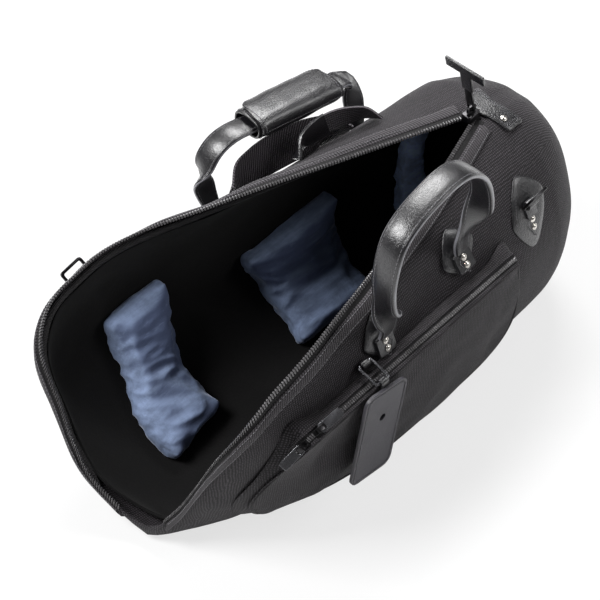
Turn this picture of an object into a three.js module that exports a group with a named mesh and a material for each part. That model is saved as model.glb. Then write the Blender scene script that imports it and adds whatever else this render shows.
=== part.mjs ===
// Flugelhorn gig bag, standing open on its base. Millimetres, +Z up, +X towards the bell end, -Y towards the pocket.
import * as THREE from "three";

// Size of the body. The mouth runs from the tip of the narrow end to the slider.
const MOUTH_LENGTH = 455;
const MOUTH_HEIGHT = 246;
const TIP_HEIGHT = 8;
const FRONT_SPREAD = 78;
const BACK_SPREAD = 163;
const BASE_HALF_WIDTH = 42;
const FRONT_LOW_REACH = 100;
const FRONT_RIM_REACH = 122;
const FRONT_RIM_DROP = 76;
const BACK_LOW_REACH = 140;
const BACK_RIM_REACH = 168;
const BACK_RIM_DROP = 54;
const DOME_LENGTH = 113;
const DOME_MIDDLE_HEIGHT = 120;
const DOME_SHIFT = 34;
const DOME_ROUNDNESS_SHARE = 2.3;
const BASE_SHARE = 0.12;

// The mouth's two rims, the keel and the curve handles between them, at nine stations from the tip to the slider.
const STATION_SHARES = [0, 0.1, 0.22, 0.34, 0.46, 0.6, 0.76, 0.9, 1];
const KEEL_X_SHARES = [0, 0.062, 0.11, 0.165, 0.242, 0.352, 0.538, 0.78, 1];
const KEEL_Z_SHARES = [1, 0.25, 0, 0, 0, 0, 0, 0, 0];
const BASE_SHARES = [0, 0.19, 0.38, 0.57, 0.71, 0.86, 0.95, 1, 1];
const FRONT = {
  side: -1,
  spread: FRONT_SPREAD,
  lowReach: FRONT_LOW_REACH,
  rimReach: FRONT_RIM_REACH,
  rimDrop: FRONT_RIM_DROP,
  xShares: [0, 0.048, 0.09, 0.158, 0.268, 0.404, 0.589, 0.813, 1],
  yShares: [0, 0.4, 0.76, 1, 0.99, 0.87, 0.65, 0.32, 0],
  zShares: [TIP_HEIGHT / MOUTH_HEIGHT, 0.293, 0.61, 0.825, 0.902, 0.935, 0.951, 0.98, 1],
  lowShares: [0, 0.22, 0.34, 0.44, 0.6, 0.74, 0.88, 0.98, 1],
  outShares: [0, 0.066, 0.115, 0.18, 0.295, 0.443, 0.656, 0.885, 1],
  dropShares: [0.05, 0.29, 0.58, 0.87, 0.97, 1, 0.87, 0.47, 0.05],
};
const BACK = {
  side: 1,
  spread: BACK_SPREAD,
  lowReach: BACK_LOW_REACH,
  rimReach: BACK_RIM_REACH,
  rimDrop: BACK_RIM_DROP,
  xShares: [0, -0.018, 0.009, 0.035, 0.11, 0.24, 0.437, 0.747, 1],
  yShares: [0, 0.405, 0.7, 0.902, 1, 0.982, 0.748, 0.331, 0],
  zShares: [TIP_HEIGHT / MOUTH_HEIGHT, 0.203, 0.439, 0.602, 0.74, 0.813, 0.874, 0.951, 1],
  lowShares: [0, 0.243, 0.371, 0.5, 0.614, 0.7, 0.786, 0.914, 1],
  outShares: [0, 0.071, 0.143, 0.179, 0.202, 0.25, 0.44, 0.774, 1],
  dropShares: [0.07, 0.22, 0.44, 0.63, 0.81, 0.96, 1, 0.63, 0.07],
};

// Layers of the padded wall, from the outside in, with the gap that keeps neighbours apart.
const GAP = 0.6;
const SEAT = 0.35;
const FABRIC = 1.4;
const FOAM = 7;
const LINING = 1.2;
const STEP_SHARE = 2e-3;
const FOAM_DEPTH = FABRIC + GAP;
const LINING_DEPTH = FOAM_DEPTH + FOAM + GAP;
const WALL = LINING_DEPTH + LINING;

// Zip along the mouth. The coil follows the rim line and the padded wall ends below it.
const EDGE_DROP = 9;
const BINDING_HEIGHT = 13;
const BINDING_GAP = 3;
const BINDING_WIDTH = 5;
const BINDING_DEPTH = FABRIC + 2 * GAP;
const TAPE_THICKNESS = 1.2;
const COIL_WIDTH = 3.4;
const COIL_THICKNESS = 3.6;

// Carry handles: the sewn-on ends and the strap between them. The arches are shares of the span, the lean and the rise.
const HANDLE_WIDTH = 26;
const HANDLE_THICKNESS = 6;
const HANDLE_END_LENGTH = 18;
const HANDLE_NOSE_CLEARANCE = 0.1;
const HANDLE_NOSE_LIFT = 2.3;
const HANDLE_LEAVING = 15;
const HANDLE_LEAVING_OUT = 10;
const HANDLE_TWIST_START_SHARE = 0.1;
const HANDLE_TWIST_SHARE = 0.14;
const PATCH_THICKNESS = 2.2;
const PATCH_TOP = 24;
const PATCH_BOTTOM = 19;
const PATCH_SIDE = 22;
const FRONT_HANDLE = {
  places: [
    { word: "narrow", t: 0.671, u: -0.855 },
    { word: "bell", t: 0.85, u: -0.84 },
  ],
  rise: 158,
  lean: 13,
  shares: [
    [-0.13, 0.8, 0.36],
    [-0.2, 1, 0.7],
    [-0.08, 1, 0.94],
    [0.28, 1, 1],
    [0.64, 1, 0.95],
    [0.92, 1, 0.74],
    [1.05, 0.9, 0.42],
  ],
};
const BACK_HANDLE = {
  places: [
    { word: "narrow", t: 0.79, u: 0.76 },
    { word: "bell", t: 0.955, u: 0.66 },
  ],
  rise: 70,
  lean: 14,
  shares: [
    [0, 0.9, 0.49],
    [0.05, 1, 0.78],
    [0.12, 0.99, 0.94],
    [0.2, 0.977, 0.997],
    [0.29, 1.04, 0.97],
    [0.62, 1.27, 0.8705],
    [0.92, 1.48, 0.78],
    [0.98, 1.52, 0.762],
    [1.04, 1.45, 0.62],
  ],
  gripStart: 4,
  gripEnd: 6,
};

// Wrap round the grip of the back handle and its closing flap.
const GRIP_WIDTH = 38;
const GRIP_THICKNESS = 15;
const GRIP_CLEARANCE = 0.5;
const GRIP_END_INSET = 4;
const FLAP_THICKNESS = 2.4;
const FLAP_WIDTH = 40;
const FLAP_CORNER_RADIUS = 16;

const RIVET_RADIUS = 3.6;
const RIVET_HEIGHT = 2;
const RIVET_SPACING = 8.6;

// Ring hangers: a leather kite, a folded leather loop and a ring of square wire that turns in the loop.
const HANGER_TOP = 32;
const HANGER_BOTTOM = 40;
const HANGER_SIDE = 26;
const HANGER_SEAT = 0.6;
const LOOP_UP = 6;
const LOOP_WIDTH = 15;
const LOOP_OUTER_RADIUS = 4.6;
const LOOP_BORE_RADIUS = 2.5;
const LOOP_TAIL = 15;
const LOOP_TAIL_THICKNESS = 2.2;
const RING_WIDTH = 27;
const RING_HEIGHT = 21;
const RING_WIRE = 3;

// Main zip slider with its bail, tab and leather pull.
const SLIDER_LENGTH = 17;
const SLIDER_WIDTH = 12;
const SLIDER_HEIGHT = 8;
const BAIL_LENGTH = 12;
const BAIL_HEIGHT = 7.6;
const BAIL_WIDTH = 2.4;
const BAIL_WIRE = 2.1;
const TAB_LENGTH = 32;
const TAB_WIDTH = 9;
const TAB_THICKNESS = 1.8;
const TAB_BAR = 2.2;
const TAB_SLOT_WIDTH = 5;
const TAB_SLOT_HEIGHT = 7.5;
const TAB_LEAN = THREE.MathUtils.degToRad(-16);
const PULL_LENGTH = 22;
const PULL_WIDTH = 13;
const PULL_THICKNESS = 3;
const PULL_CLEARANCE = 0.7;
const PULL_BAR_LENGTH = 46;
const PULL_BAR_HEIGHT = 12;

// Leather end tab over the closed end of the zip, its reach on each side of the crown and its rivet.
const END_TAB = { from: 1.02, to: 1.23, front: 0.088, back: 0.05, rivetT: 1.09, rivetU: -0.944 };

// Luggage tag on the front wall, hung from a small ring below the narrow end of the front handle.
const TAG_WIDTH = 56;
const TAG_HEIGHT = 112;
const TAG_THICKNESS = 3.2;
const TAG_CORNER_RADIUS = 10;
const TAG_SLOT_RADIUS = 4;
const TAG_SLOT_DROP = 36;
const TAG_TURN = THREE.MathUtils.degToRad(12);
const TAG_LEAN = THREE.MathUtils.degToRad(2);
const TAG_PLACE = { t: 0.615, u: -0.83 };
const TAG_LOOP_WIDTH = 9;
const TAG_LOOP_RADIUS = 3.9;
const TAG_BORE_RADIUS = 2.1;
const TAG_RING_WIDTH = 18;
const TAG_RING_HEIGHT = 25;
const TAG_RING_WIRE = 2.4;
const TAG_RING_DROP = THREE.MathUtils.degToRad(12);
const TAG_STRAP_THICKNESS = 2.2;
const TAG_STRAP_TAIL = 26;

// Bellows pocket on the front wall: heights as shares from its base to its zip, ends as shares of its length.
const POCKET_LEFT = 62;
const POCKET_LENGTH = 334;
const POCKET_LOW = 15;
const POCKET_HEIGHT = 150;
const POCKET_RISE = 6;
const POCKET_FACE = 117;
const POCKET_LEFT_DROP = 33;
const POCKET_BASE_DROP = 16;
const POCKET_BULGE = 5;
const POCKET_FABRIC = 1.5;
const WALL_STEP_SHARE = 0.5;
const POCKET_FLARE = 11;
const POCKET_TOP_FLARE = 2.5;
const POCKET_SEAM_LIFT = 2;
const POCKET_PANEL_SEAT = 0.9;
const POCKET_BAND = 12;
const POCKET_NEAR_SHARE = 1.6;
const POCKET_BAND_TILT = THREE.MathUtils.degToRad(25);
const POCKET_LEVEL_SHARES = [0, 0.12, 0.28, 0.46, 0.64, 0.73, 0.82, 0.91, 1];
const POCKET_ACROSS_SHARES = [0, 0.07, 0.2, 0.36, 0.52, 0.68, 0.84, 0.94, 1];
const POCKET_LEFT_SHARES = [0.17, 0.075, 0.02, 0, 0.035, 0.06, 0.085, 0.112, 0.14];
const POCKET_RIGHT_SHARES = [0.81, 0.905, 0.97, 1, 1, 0.995, 0.99, 0.982, 0.973];
const POCKET_LEFT_DROP_SHARES = [0.8, 0.95, 1.05, 1, 0.75, 0.57, 0.38, 0.19, 0];
const POCKET_ZIP_WIDTH = 7;
const POCKET_ZIP_THICKNESS = 2;
const POCKET_ZIP_SEAT = 0.6;
const POCKET_ZIP_INSET = 1.6;
const POCKET_SLIDER_LENGTH = 13;
const POCKET_SLIDER_WIDTH = 5;
const POCKET_SLIDER_HEIGHT = 3;
const POCKET_SLIDER_SEAT = 0.5;
const POCKET_BAIL_LENGTH = 8;
const POCKET_BAIL_HEIGHT = 5.6;
const POCKET_BAIL_WIRE = 1.5;
const POCKET_TAB_LENGTH = 25;
const POCKET_TAB_WIDTH = 9;
const POCKET_TAB_THICKNESS = 1.4;
const POCKET_TAB_BAR = 1.8;
const POCKET_TAB_LIFT = THREE.MathUtils.degToRad(24);

// Places of the ring hangers. The one at the bell end stays clear of the pocket.
const HANGER_FROM_POCKET = 43.5;
const HANGERS = [
  {
    word: "bell",
    t: (POCKET_LEFT + POCKET_LENGTH + HANGER_FROM_POCKET) / MOUTH_LENGTH,
    u: -0.745,
    rivets: 2,
    swing: THREE.MathUtils.degToRad(52),
  },
  { word: "narrow", t: 0.56, u: 0.8, rivets: 1, swing: THREE.MathUtils.degToRad(40) },
];

// Supports for the instrument: velour over foam, held on the lining.
const NARROW_BLOCK_HEIGHT = 26;
const MIDDLE_BLOCK_HEIGHT = 30;
const BELL_BLOCK_HEIGHT = 24;
const BLOCKS = [
  {
    name: "narrow_end_block",
    height: NARROW_BLOCK_HEIGHT,
    spans: 3,
    stations: [
      [12.7, 5, 8.6],
      [13.4, 5, 8.7],
      [14.1, 5.2, 8.9],
      [15, 5.8, 9.1],
      [16, 6.8, 9.5],
      [17.1, 7.5, 9.8],
      [17.9, 7.9, 9.95],
    ],
  },
  {
    name: "middle_block",
    height: MIDDLE_BLOCK_HEIGHT,
    spans: 2,
    stations: [
      [12.2, 11.3, 13.5],
      [13, 11.4, 13.55],
      [14, 11.45, 13.55],
      [15, 11.45, 13.5],
      [16, 11.4, 13.4],
      [16.7, 11.4, 13.4],
    ],
  },
  {
    name: "bell_end_block",
    height: BELL_BLOCK_HEIGHT,
    spans: 3,
    stations: [
      [12.6, 14.7, 17.5],
      [14, 14.9, 17.7],
      [15, 15.1, 17.8],
      [16, 15.3, 17.9],
      [16.8, 15.5, 18],
    ],
  },
];
const BLOCK_SEAT = 1.1;
const BLOCK_EDGE_SHARE = 0.85;

// Webbing straps on the back wall.
const WEBBING_THICKNESS = 2.4;
const WEBBING_SEAT = 0.4;
const LOW_WEBBING_WIDTH = 34;
const LOW_WEBBING_STAND = 21;
const HIGH_WEBBING_WIDTH = 26;
const HIGH_WEBBING_STAND = 18;
const WEBBING_TURN = THREE.MathUtils.degToRad(50);
const WEBBING = [
  { name: "webbing_low", from: [0.803, 0.865], to: [0.93, 0.75], width: LOW_WEBBING_WIDTH, stand: LOW_WEBBING_STAND },
  { name: "webbing_high", from: [0.868, 0.855], to: [0.942, 0.87], width: HIGH_WEBBING_WIDTH, stand: HIGH_WEBBING_STAND },
];

const STATIONS = [0, 0.1, 0.16, 0.22, 0.28, 0.34, 0.4, 0.46, 0.53, 0.6, 0.68, 0.76, 0.83, 0.89, 0.94, 1];
const DOME_STATIONS = [0.18, 0.36, 0.54, 0.7, 0.83, 0.92, 0.975];
const WALL_SHARES = [1, 0.87, 0.74, 0.61, 0.48, 0.35, 0.22, 0.1, 0];

const COLOURS = {
  nylon: [0x17151a, 0.85, 0],
  lining: [0x0c0a0f, 0.95, 0],
  foam: [0x2b2b2e, 0.95, 0],
  binding: [0x1b191e, 0.8, 0],
  coil: [0x101012, 0.45, 0],
  leather: [0x17171b, 0.4, 0],
  webbing: [0x19171b, 0.75, 0],
  gunmetal: [0x2c2c30, 0.3, 1],
  nickel: [0xb9b6b0, 0.25, 1],
  velour: [0x5b6f96, 0.9, 0],
};

const bag = new THREE.Group();

function add(name, look, geometry, parent = bag) {
  const [color, roughness, metalness] = COLOURS[look];
  const mesh = new THREE.Mesh(geometry, new THREE.MeshStandardMaterial({ color, roughness, metalness }));
  mesh.name = name;
  parent.add(mesh);
  return mesh;
}

// Smooth curve through a table of shares, with no overshoot between its places.
function through(places, values, at) {
  const last = places.length - 1;
  const x = Math.min(Math.max(at, places[0]), places[last]);
  let i = 0;
  while (i < last - 1 && x > places[i + 1]) i += 1;
  const slope = (k) => (values[k + 1] - values[k]) / (places[k + 1] - places[k]);
  const tangent = (k) => {
    if (k === 0) return slope(0);
    if (k === last) return slope(last - 1);
    const before = slope(k - 1);
    const after = slope(k);
    return before * after > 0 ? (2 * before * after) / (before + after) : 0;
  };
  const h = places[i + 1] - places[i];
  const s = (x - places[i]) / h;
  const a = 2 * s ** 3 - 3 * s ** 2 + 1;
  const b = s ** 3 - 2 * s ** 2 + s;
  const c = -2 * s ** 3 + 3 * s ** 2;
  const d = s ** 3 - s ** 2;
  return a * values[i] + b * h * tangent(i) + c * values[i + 1] + d * h * tangent(i + 1);
}

// A point of the mouth's wall: t runs from the tip to the slider, v from the keel up to the rim of one side.
function mouthPoint(half, t, v) {
  const along = (shares) => through(STATION_SHARES, shares, t);
  const rimX = MOUTH_LENGTH * along(half.xShares);
  const rimY = half.spread * along(half.yShares);
  const rimZ = MOUTH_HEIGHT * along(half.zShares);
  const step = 1e-3;
  const change = (shares, size) => {
    const ahead = through(STATION_SHARES, shares, Math.min(t + step, 1));
    const behind = through(STATION_SHARES, shares, Math.max(t - step, 0));
    return size * (ahead - behind);
  };
  const dx = change(half.xShares, MOUTH_LENGTH);
  const dy = change(half.yShares, half.spread);
  const flat = Math.hypot(dx, dy);
  const keelX = MOUTH_LENGTH * along(KEEL_X_SHARES);
  const keelZ = TIP_HEIGHT * along(KEEL_Z_SHARES);
  const base = BASE_HALF_WIDTH * along(BASE_SHARES);
  const low = half.lowReach * along(half.lowShares);
  const out = half.rimReach * along(half.outShares);
  const drop = half.rimDrop * along(half.dropShares);
  if (v < BASE_SHARE) return new THREE.Vector3(keelX, (half.side * base * v) / BASE_SHARE, keelZ);
  const s = (v - BASE_SHARE) / (1 - BASE_SHARE);
  const a = (1 - s) ** 3;
  const b = 3 * s * (1 - s) ** 2;
  const c = 3 * s * s * (1 - s);
  const d = s ** 3;
  const lean = 0.3 * (rimX - keelX);
  const x = a * keelX + b * (keelX + lean) + c * (rimX - (dy / flat) * out) + d * rimX;
  const y = a * base + b * (base + low) + c * (rimY + (dx / flat) * out) + d * rimY;
  const z = (a + b) * keelZ + c * (rimZ - drop) + d * rimZ;
  return new THREE.Vector3(x, half.side * y, z);
}

// A point of the whole outside. Past t = 1 the last section shrinks to the pole of the bell end.
function bagPoint(t, u) {
  const half = u < 0 ? FRONT : BACK;
  const v = Math.min(Math.abs(u), 1);
  if (t <= 1) return mouthPoint(half, Math.max(t, 0), v);
  const q = Math.min(t - 1, 1);
  const p = mouthPoint(half, 1, v);
  const shrink = (1 - q ** DOME_ROUNDNESS_SHARE) ** (1 / DOME_ROUNDNESS_SHARE);
  const skew = (1 - q) ** 2;
  return new THREE.Vector3(
    MOUTH_LENGTH + (p.x - MOUTH_LENGTH) * skew + DOME_LENGTH * q,
    p.y * shrink + DOME_SHIFT * (1 - shrink),
    DOME_MIDDLE_HEIGHT + (p.z - DOME_MIDDLE_HEIGHT) * shrink
  );
}

// Directions on the outside at one place: along the bag, up the wall and square out of it.
function bagFrame(t, u) {
  const step = STEP_SHARE;
  const t1 = t + step;
  const t0 = Math.max(t - step, step);
  const side = u < 0 ? -1 : 1;
  const v = Math.min(Math.abs(u), 1 - step);
  const along = bagPoint(t1, u).sub(bagPoint(t0, u));
  const up = bagPoint(t, side * (v + step)).sub(bagPoint(t, side * (v - step)));
  const speed = along.length() / (t1 - t0);
  const climb = up.length() / (2 * step);
  up.normalize();
  along.normalize();
  const out = new THREE.Vector3().crossVectors(along, up).multiplyScalar(-side).normalize();
  return { point: bagPoint(t, u), along, up, out, speed, climb };
}

function lifted(t, u, lift) {
  const frame = bagFrame(t, u);
  return frame.point.addScaledVector(frame.out, lift);
}

// Share of the wall's height that a length below the rim takes up at one station.
function shareBelowRim(half, t, below) {
  const steps = 24;
  let length = 0;
  let before = mouthPoint(half, t, BASE_SHARE);
  for (let i = 1; i <= steps; i += 1) {
    const here = mouthPoint(half, t, BASE_SHARE + ((1 - BASE_SHARE) * i) / steps);
    length += here.distanceTo(before);
    before = here;
  }
  return 1 - (below * (1 - BASE_SHARE)) / length;
}

// Closed body between two skins that share one list of faces; open edges get side walls.
function between(outer, inner, faces) {
  const count = outer.length;
  const index = [];
  const edges = new Map();
  for (const face of faces) {
    for (let i = 1; i + 1 < face.length; i += 1) {
      index.push(face[0], face[i], face[i + 1]);
      index.push(count + face[0], count + face[i + 1], count + face[i]);
    }
    face.forEach((a, i) => edges.set(a + "," + face[(i + 1) % face.length], [a, face[(i + 1) % face.length]]));
  }
  for (const [a, b] of edges.values()) {
    if (edges.has(b + "," + a)) continue;
    index.push(a, count + a, count + b, a, count + b, b);
  }
  const points = [...outer, ...inner];
  const used = new Map();
  const positions = [];
  const packed = index.map((i) => {
    if (!used.has(i)) {
      used.set(i, used.size);
      positions.push(points[i].x, points[i].y, points[i].z);
    }
    return used.get(i);
  });
  const geometry = new THREE.BufferGeometry();
  geometry.setAttribute("position", new THREE.Float32BufferAttribute(positions, 3));
  geometry.setIndex(packed);
  return geometry;
}

// Body with two skins over a grid of rows and columns; a ring closes in columns.
function gridBody(rows, columns, outerAt, innerAt, ring = false) {
  const outer = [];
  const inner = [];
  for (let i = 0; i < rows; i += 1) {
    for (let j = 0; j < columns; j += 1) {
      outer.push(outerAt(i, j));
      inner.push(innerAt(i, j));
    }
  }
  const faces = [];
  const spans = ring ? columns : columns - 1;
  for (let i = 0; i + 1 < rows; i += 1) {
    for (let j = 0; j < spans; j += 1) {
      const k = (j + 1) % columns;
      faces.push([i * columns + j, i * columns + k, (i + 1) * columns + k, (i + 1) * columns + j]);
    }
  }
  return between(outer, inner, faces);
}

// Flat strap along a route, with its width direction at each point. Its ends can be rounded across the thickness.
function strap(path, acrossAt, width, thickness, rounded = false) {
  const route = path.map((p) => p.clone());
  const fullness = route.map(() => 1);
  if (rounded) {
    const nose = [0.5, 0.86, 0.99];
    const first = route[0].clone().sub(route[1]).normalize();
    const final = route[route.length - 1].clone().sub(route[route.length - 2]).normalize();
    const start = route[0].clone();
    const end = route[route.length - 1].clone();
    nose.forEach((share) => {
      route.unshift(start.clone().addScaledVector(first, (share * thickness) / 2));
      route.push(end.clone().addScaledVector(final, (share * thickness) / 2));
      fullness.unshift(Math.sqrt(1 - share ** 2));
      fullness.push(Math.sqrt(1 - share ** 2));
    });
  }
  const last = route.length - 1;
  const corner = (i, side, face) => {
    const ahead = route[Math.min(i + 1, last)].clone().sub(route[Math.max(i - 1, 0)]).normalize();
    const across = acrossAt(i / last).clone();
    across.addScaledVector(ahead, -across.dot(ahead)).normalize();
    const normal = new THREE.Vector3().crossVectors(across, ahead).normalize();
    const rise = (face * fullness[i] * thickness) / 2;
    return route[i].clone().addScaledVector(across, (side * width) / 2).addScaledVector(normal, rise);
  };
  return gridBody(
    route.length,
    2,
    (i, j) => corner(i, 2 * j - 1, 1),
    (i, j) => corner(i, 2 * j - 1, -1)
  );
}

function smoothRoute(points, steps) {
  return new THREE.CatmullRomCurve3(points, false, "centripetal").getPoints(steps);
}

// Panel sewn onto the outside: an outline given by its reach in each direction round a centre.
function sewnPatch(t, u, reachAt, lift, thickness, turns = 20) {
  const frame = bagFrame(t, u);
  const place = (a, b, height) => lifted(t + a / frame.speed, u + (b * Math.sign(u)) / frame.climb, height);
  const outer = [place(0, 0, lift + thickness)];
  const inner = [place(0, 0, lift)];
  const rings = [0.5, 1];
  for (const ring of rings) {
    for (let k = 0; k < turns; k += 1) {
      const angle = (2 * Math.PI * k) / turns;
      const reach = reachAt(angle) * ring;
      const a = reach * Math.cos(angle);
      const b = reach * Math.sin(angle);
      outer.push(place(a, b, lift + thickness));
      inner.push(place(a, b, lift));
    }
  }
  const faces = [];
  const side = u < 0 ? 1 : -1;
  const put = (face) => faces.push(side > 0 ? face : face.reverse());
  for (let k = 0; k < turns; k += 1) {
    const n = (k + 1) % turns;
    put([0, 1 + k, 1 + n]);
    put([1 + k, 1 + turns + k, 1 + turns + n, 1 + n]);
  }
  return between(outer, inner, faces);
}

// Kite with rounded points: its reach to the top, the bottom and the sides.
function kite(top, bottom, side) {
  return (angle) => {
    const up = Math.sin(angle);
    const tall = up > 0 ? top : bottom;
    const power = 1.35;
    const sum = Math.abs(Math.cos(angle) / side) ** power + Math.abs(up / tall) ** power;
    return 1 / sum ** (1 / power);
  };
}

function seated(name, look, geometry, frame, lift) {
  const mesh = add(name, look, geometry);
  const across = frame.up.clone().cross(frame.out);
  const basis = new THREE.Matrix4().makeBasis(across, frame.up, frame.out);
  mesh.quaternion.setFromRotationMatrix(basis);
  mesh.position.copy(frame.point).addScaledVector(frame.out, lift);
  return mesh;
}

function extruded(outline, depth, holes = []) {
  const shape = new THREE.Shape(outline);
  holes.forEach((hole) => shape.holes.push(new THREE.Path(hole)));
  const geometry = new THREE.ExtrudeGeometry(shape, { depth, bevelEnabled: false, curveSegments: 8, steps: 1 });
  return geometry.translate(0, 0, -depth / 2);
}

// Outline of a rectangle with rounded corners, centred on zero.
function roundedBox(width, height, radius, steps = 3) {
  const points = [];
  for (let c = 0; c < 4; c += 1) {
    const sx = c === 0 || c === 3 ? 1 : -1;
    const sy = c < 2 ? 1 : -1;
    for (let i = 0; i <= steps; i += 1) {
      const angle = (Math.PI / 2) * (c + i / steps);
      const x = sx * (width / 2 - radius) + radius * Math.cos(angle);
      const y = sy * (height / 2 - radius) + radius * Math.sin(angle);
      points.push(new THREE.Vector2(x, y));
    }
  }
  return points;
}

function circle(radius, steps = 10) {
  return Array.from({ length: steps }, (_, k) => {
    const angle = (2 * Math.PI * k) / steps;
    return new THREE.Vector2(radius * Math.cos(angle), radius * Math.sin(angle));
  });
}

// Grid of the body: rows go from the tip to the pole of the bell end, columns from the front rim to the back rim.
const SLIDER_ROW = STATIONS.length - 1;
const ROWS = STATIONS.length + DOME_STATIONS.length;
const COLUMNS = 2 * (WALL_SHARES.length + 2);

function columnPlace(column, t) {
  const half = column <= COLUMNS / 2 ? FRONT : BACK;
  const fromRim = Math.min(column, COLUMNS - column);
  if (fromRim === 0) return half.side;
  if (fromRim === COLUMNS / 2) return 0;
  const station = Math.min(t, 1);
  if (fromRim === 1) return half.side * shareBelowRim(half, station, EDGE_DROP);
  const top = shareBelowRim(half, station, EDGE_DROP + BINDING_HEIGHT);
  return half.side * (BASE_SHARE + (top - BASE_SHARE) * WALL_SHARES[fromRim - 2]);
}

const vertices = [bagPoint(0, 0)];
const vertexAt = [];
for (let i = 0; i < ROWS; i += 1) {
  const t = i <= SLIDER_ROW ? STATIONS[i] : 1 + DOME_STATIONS[i - SLIDER_ROW - 1];
  const row = [];
  for (let j = 0; j <= COLUMNS; j += 1) {
    if (i === 0) row.push(0);
    else if (j === COLUMNS && i >= SLIDER_ROW) row.push(row[0]);
    else row.push(vertices.push(bagPoint(t, columnPlace(j, t))) - 1);
  }
  vertexAt.push(row);
}
const pole = vertices.push(bagPoint(2, 0)) - 1;
vertexAt.push(new Array(COLUMNS + 1).fill(pole));

// Faces of the body, left open along the mouth by a number of columns on each side.
function bodyFaces(open) {
  const faces = [];
  for (let i = 0; i < ROWS; i += 1) {
    for (let j = 0; j < COLUMNS; j += 1) {
      if (i < SLIDER_ROW && (j < open || j >= COLUMNS - open)) continue;
      const face = [vertexAt[i][j], vertexAt[i][j + 1], vertexAt[i + 1][j + 1], vertexAt[i + 1][j]];
      faces.push(face.filter((a, k) => a !== face[(k + 1) % face.length]));
    }
  }
  return faces;
}

const normals = vertices.map(() => new THREE.Vector3());
for (const face of bodyFaces(0)) {
  for (let k = 1; k + 1 < face.length; k += 1) {
    const [a, b, c] = [face[0], face[k], face[k + 1]];
    const edge = vertices[b].clone().sub(vertices[a]);
    const normal = edge.cross(vertices[c].clone().sub(vertices[a]));
    [a, b, c].forEach((n) => normals[n].add(normal));
  }
}
normals.forEach((n) => n.normalize());
// Where the three faces that meet at the tip cross again, for each millimetre of depth.
const TIP_INSET_SHARES = new THREE.Vector3(1.92, 0.21, 0.61);

function vertexIn(n, depth) {
  if (n === 0) return vertices[0].clone().addScaledVector(TIP_INSET_SHARES, depth);
  return vertices[n].clone().addScaledVector(normals[n], -depth);
}

function layer(name, look, depth, thickness, open) {
  const outer = vertices.map((_, n) => vertexIn(n, depth));
  const inner = vertices.map((_, n) => vertexIn(n, depth + thickness));
  return add(name, look, between(outer, inner, bodyFaces(open)));
}

layer("outer_shell", "nylon", 0, FABRIC, 1);
layer("foam_core", "foam", FOAM_DEPTH, FOAM, 2);
layer("lining", "lining", LINING_DEPTH, LINING, 2);

// Place between the rim line and the edges below it, on one row of one side.
function rimFrame(side, row, share = 1) {
  const column = (k) => (side < 0 ? k : COLUMNS - k);
  const near = vertexAt[row];
  const back = vertexAt[row - 1];
  const at = (k, depth) => {
    const here = vertexIn(near[column(k)], depth);
    return vertexIn(back[column(k)], depth).lerp(here, share);
  };
  return at;
}

// Strip along one rim. Its two long edges are given as places between columns and as depths.
function rimStrip(side, rows, low, high) {
  const edge = (row, end, inside) => {
    const at = rimFrame(side, row.row, row.share);
    const depth = inside ? end.inner : end.outer;
    const a = at(end.from, depth);
    const b = at(end.to, depth);
    const length = a.distanceTo(b);
    return a.lerp(b, Math.min(end.mm / length, 1 - end.mm / (2 * length)));
  };
  const ends = side < 0 ? [high, low] : [low, high];
  return gridBody(
    rows.length,
    2,
    (i, j) => edge(rows[i], ends[j], false),
    (i, j) => edge(rows[i], ends[j], true)
  );
}

const RIM_ROWS = STATIONS.slice(1).map((_, i) => ({ row: i + 1, share: i + 1 === SLIDER_ROW ? 0.9 : 1 }));
const COIL_ROWS = [{ row: 1, share: 0.5 }, ...RIM_ROWS];

for (const [side, word] of [
  [-1, "front"],
  [1, "back"],
]) {
  const binding = rimStrip(
    side,
    RIM_ROWS,
    { from: 2, to: 1, mm: BINDING_GAP, outer: BINDING_DEPTH, inner: BINDING_DEPTH + BINDING_WIDTH },
    { from: 1, to: 2, mm: GAP, outer: BINDING_DEPTH, inner: BINDING_DEPTH + BINDING_WIDTH }
  );
  add("rim_binding_" + word, "binding", binding);
  const tape = rimStrip(
    side,
    RIM_ROWS,
    { from: 1, to: 0, mm: GAP, outer: 0, inner: TAPE_THICKNESS },
    { from: 0, to: 1, mm: COIL_WIDTH / 2 + GAP, outer: 0, inner: TAPE_THICKNESS }
  );
  add("zip_tape_" + word, "nylon", tape);
  const raised = (TAPE_THICKNESS - COIL_THICKNESS) / 2;
  const coil = rimStrip(
    side,
    COIL_ROWS,
    { from: 0, to: 1, mm: COIL_WIDTH / 2, outer: raised, inner: raised + COIL_THICKNESS },
    { from: 0, to: 1, mm: 0, outer: raised, inner: raised + COIL_THICKNESS }
  );
  add("zip_coil_" + word, "coil", coil);
}

// Rounded head of a rivet, standing on a face whose normal is local +Z.
function rivetHead(radius, height) {
  const profile = [
    new THREE.Vector2(0, 0),
    new THREE.Vector2(radius, 0),
    new THREE.Vector2(0.86 * radius, 0.7 * height),
    new THREE.Vector2(0, height),
  ];
  return new THREE.LatheGeometry(profile, 10).rotateX(Math.PI / 2);
}

function movedFrame(frame, across, up) {
  const sideways = frame.up.clone().cross(frame.out);
  const point = frame.point.clone().addScaledVector(sideways, across).addScaledVector(frame.up, up);
  return { ...frame, point };
}

function placed(name, look, geometry, origin, x, y) {
  const mesh = add(name, look, geometry);
  const z = x.clone().cross(y).normalize();
  mesh.quaternion.setFromRotationMatrix(new THREE.Matrix4().makeBasis(x, z.clone().cross(x), z));
  mesh.position.copy(origin);
  return mesh;
}

function smoothShare(share) {
  const s = Math.min(Math.max(share, 0), 1);
  return s * s * (3 - 2 * s);
}

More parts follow.
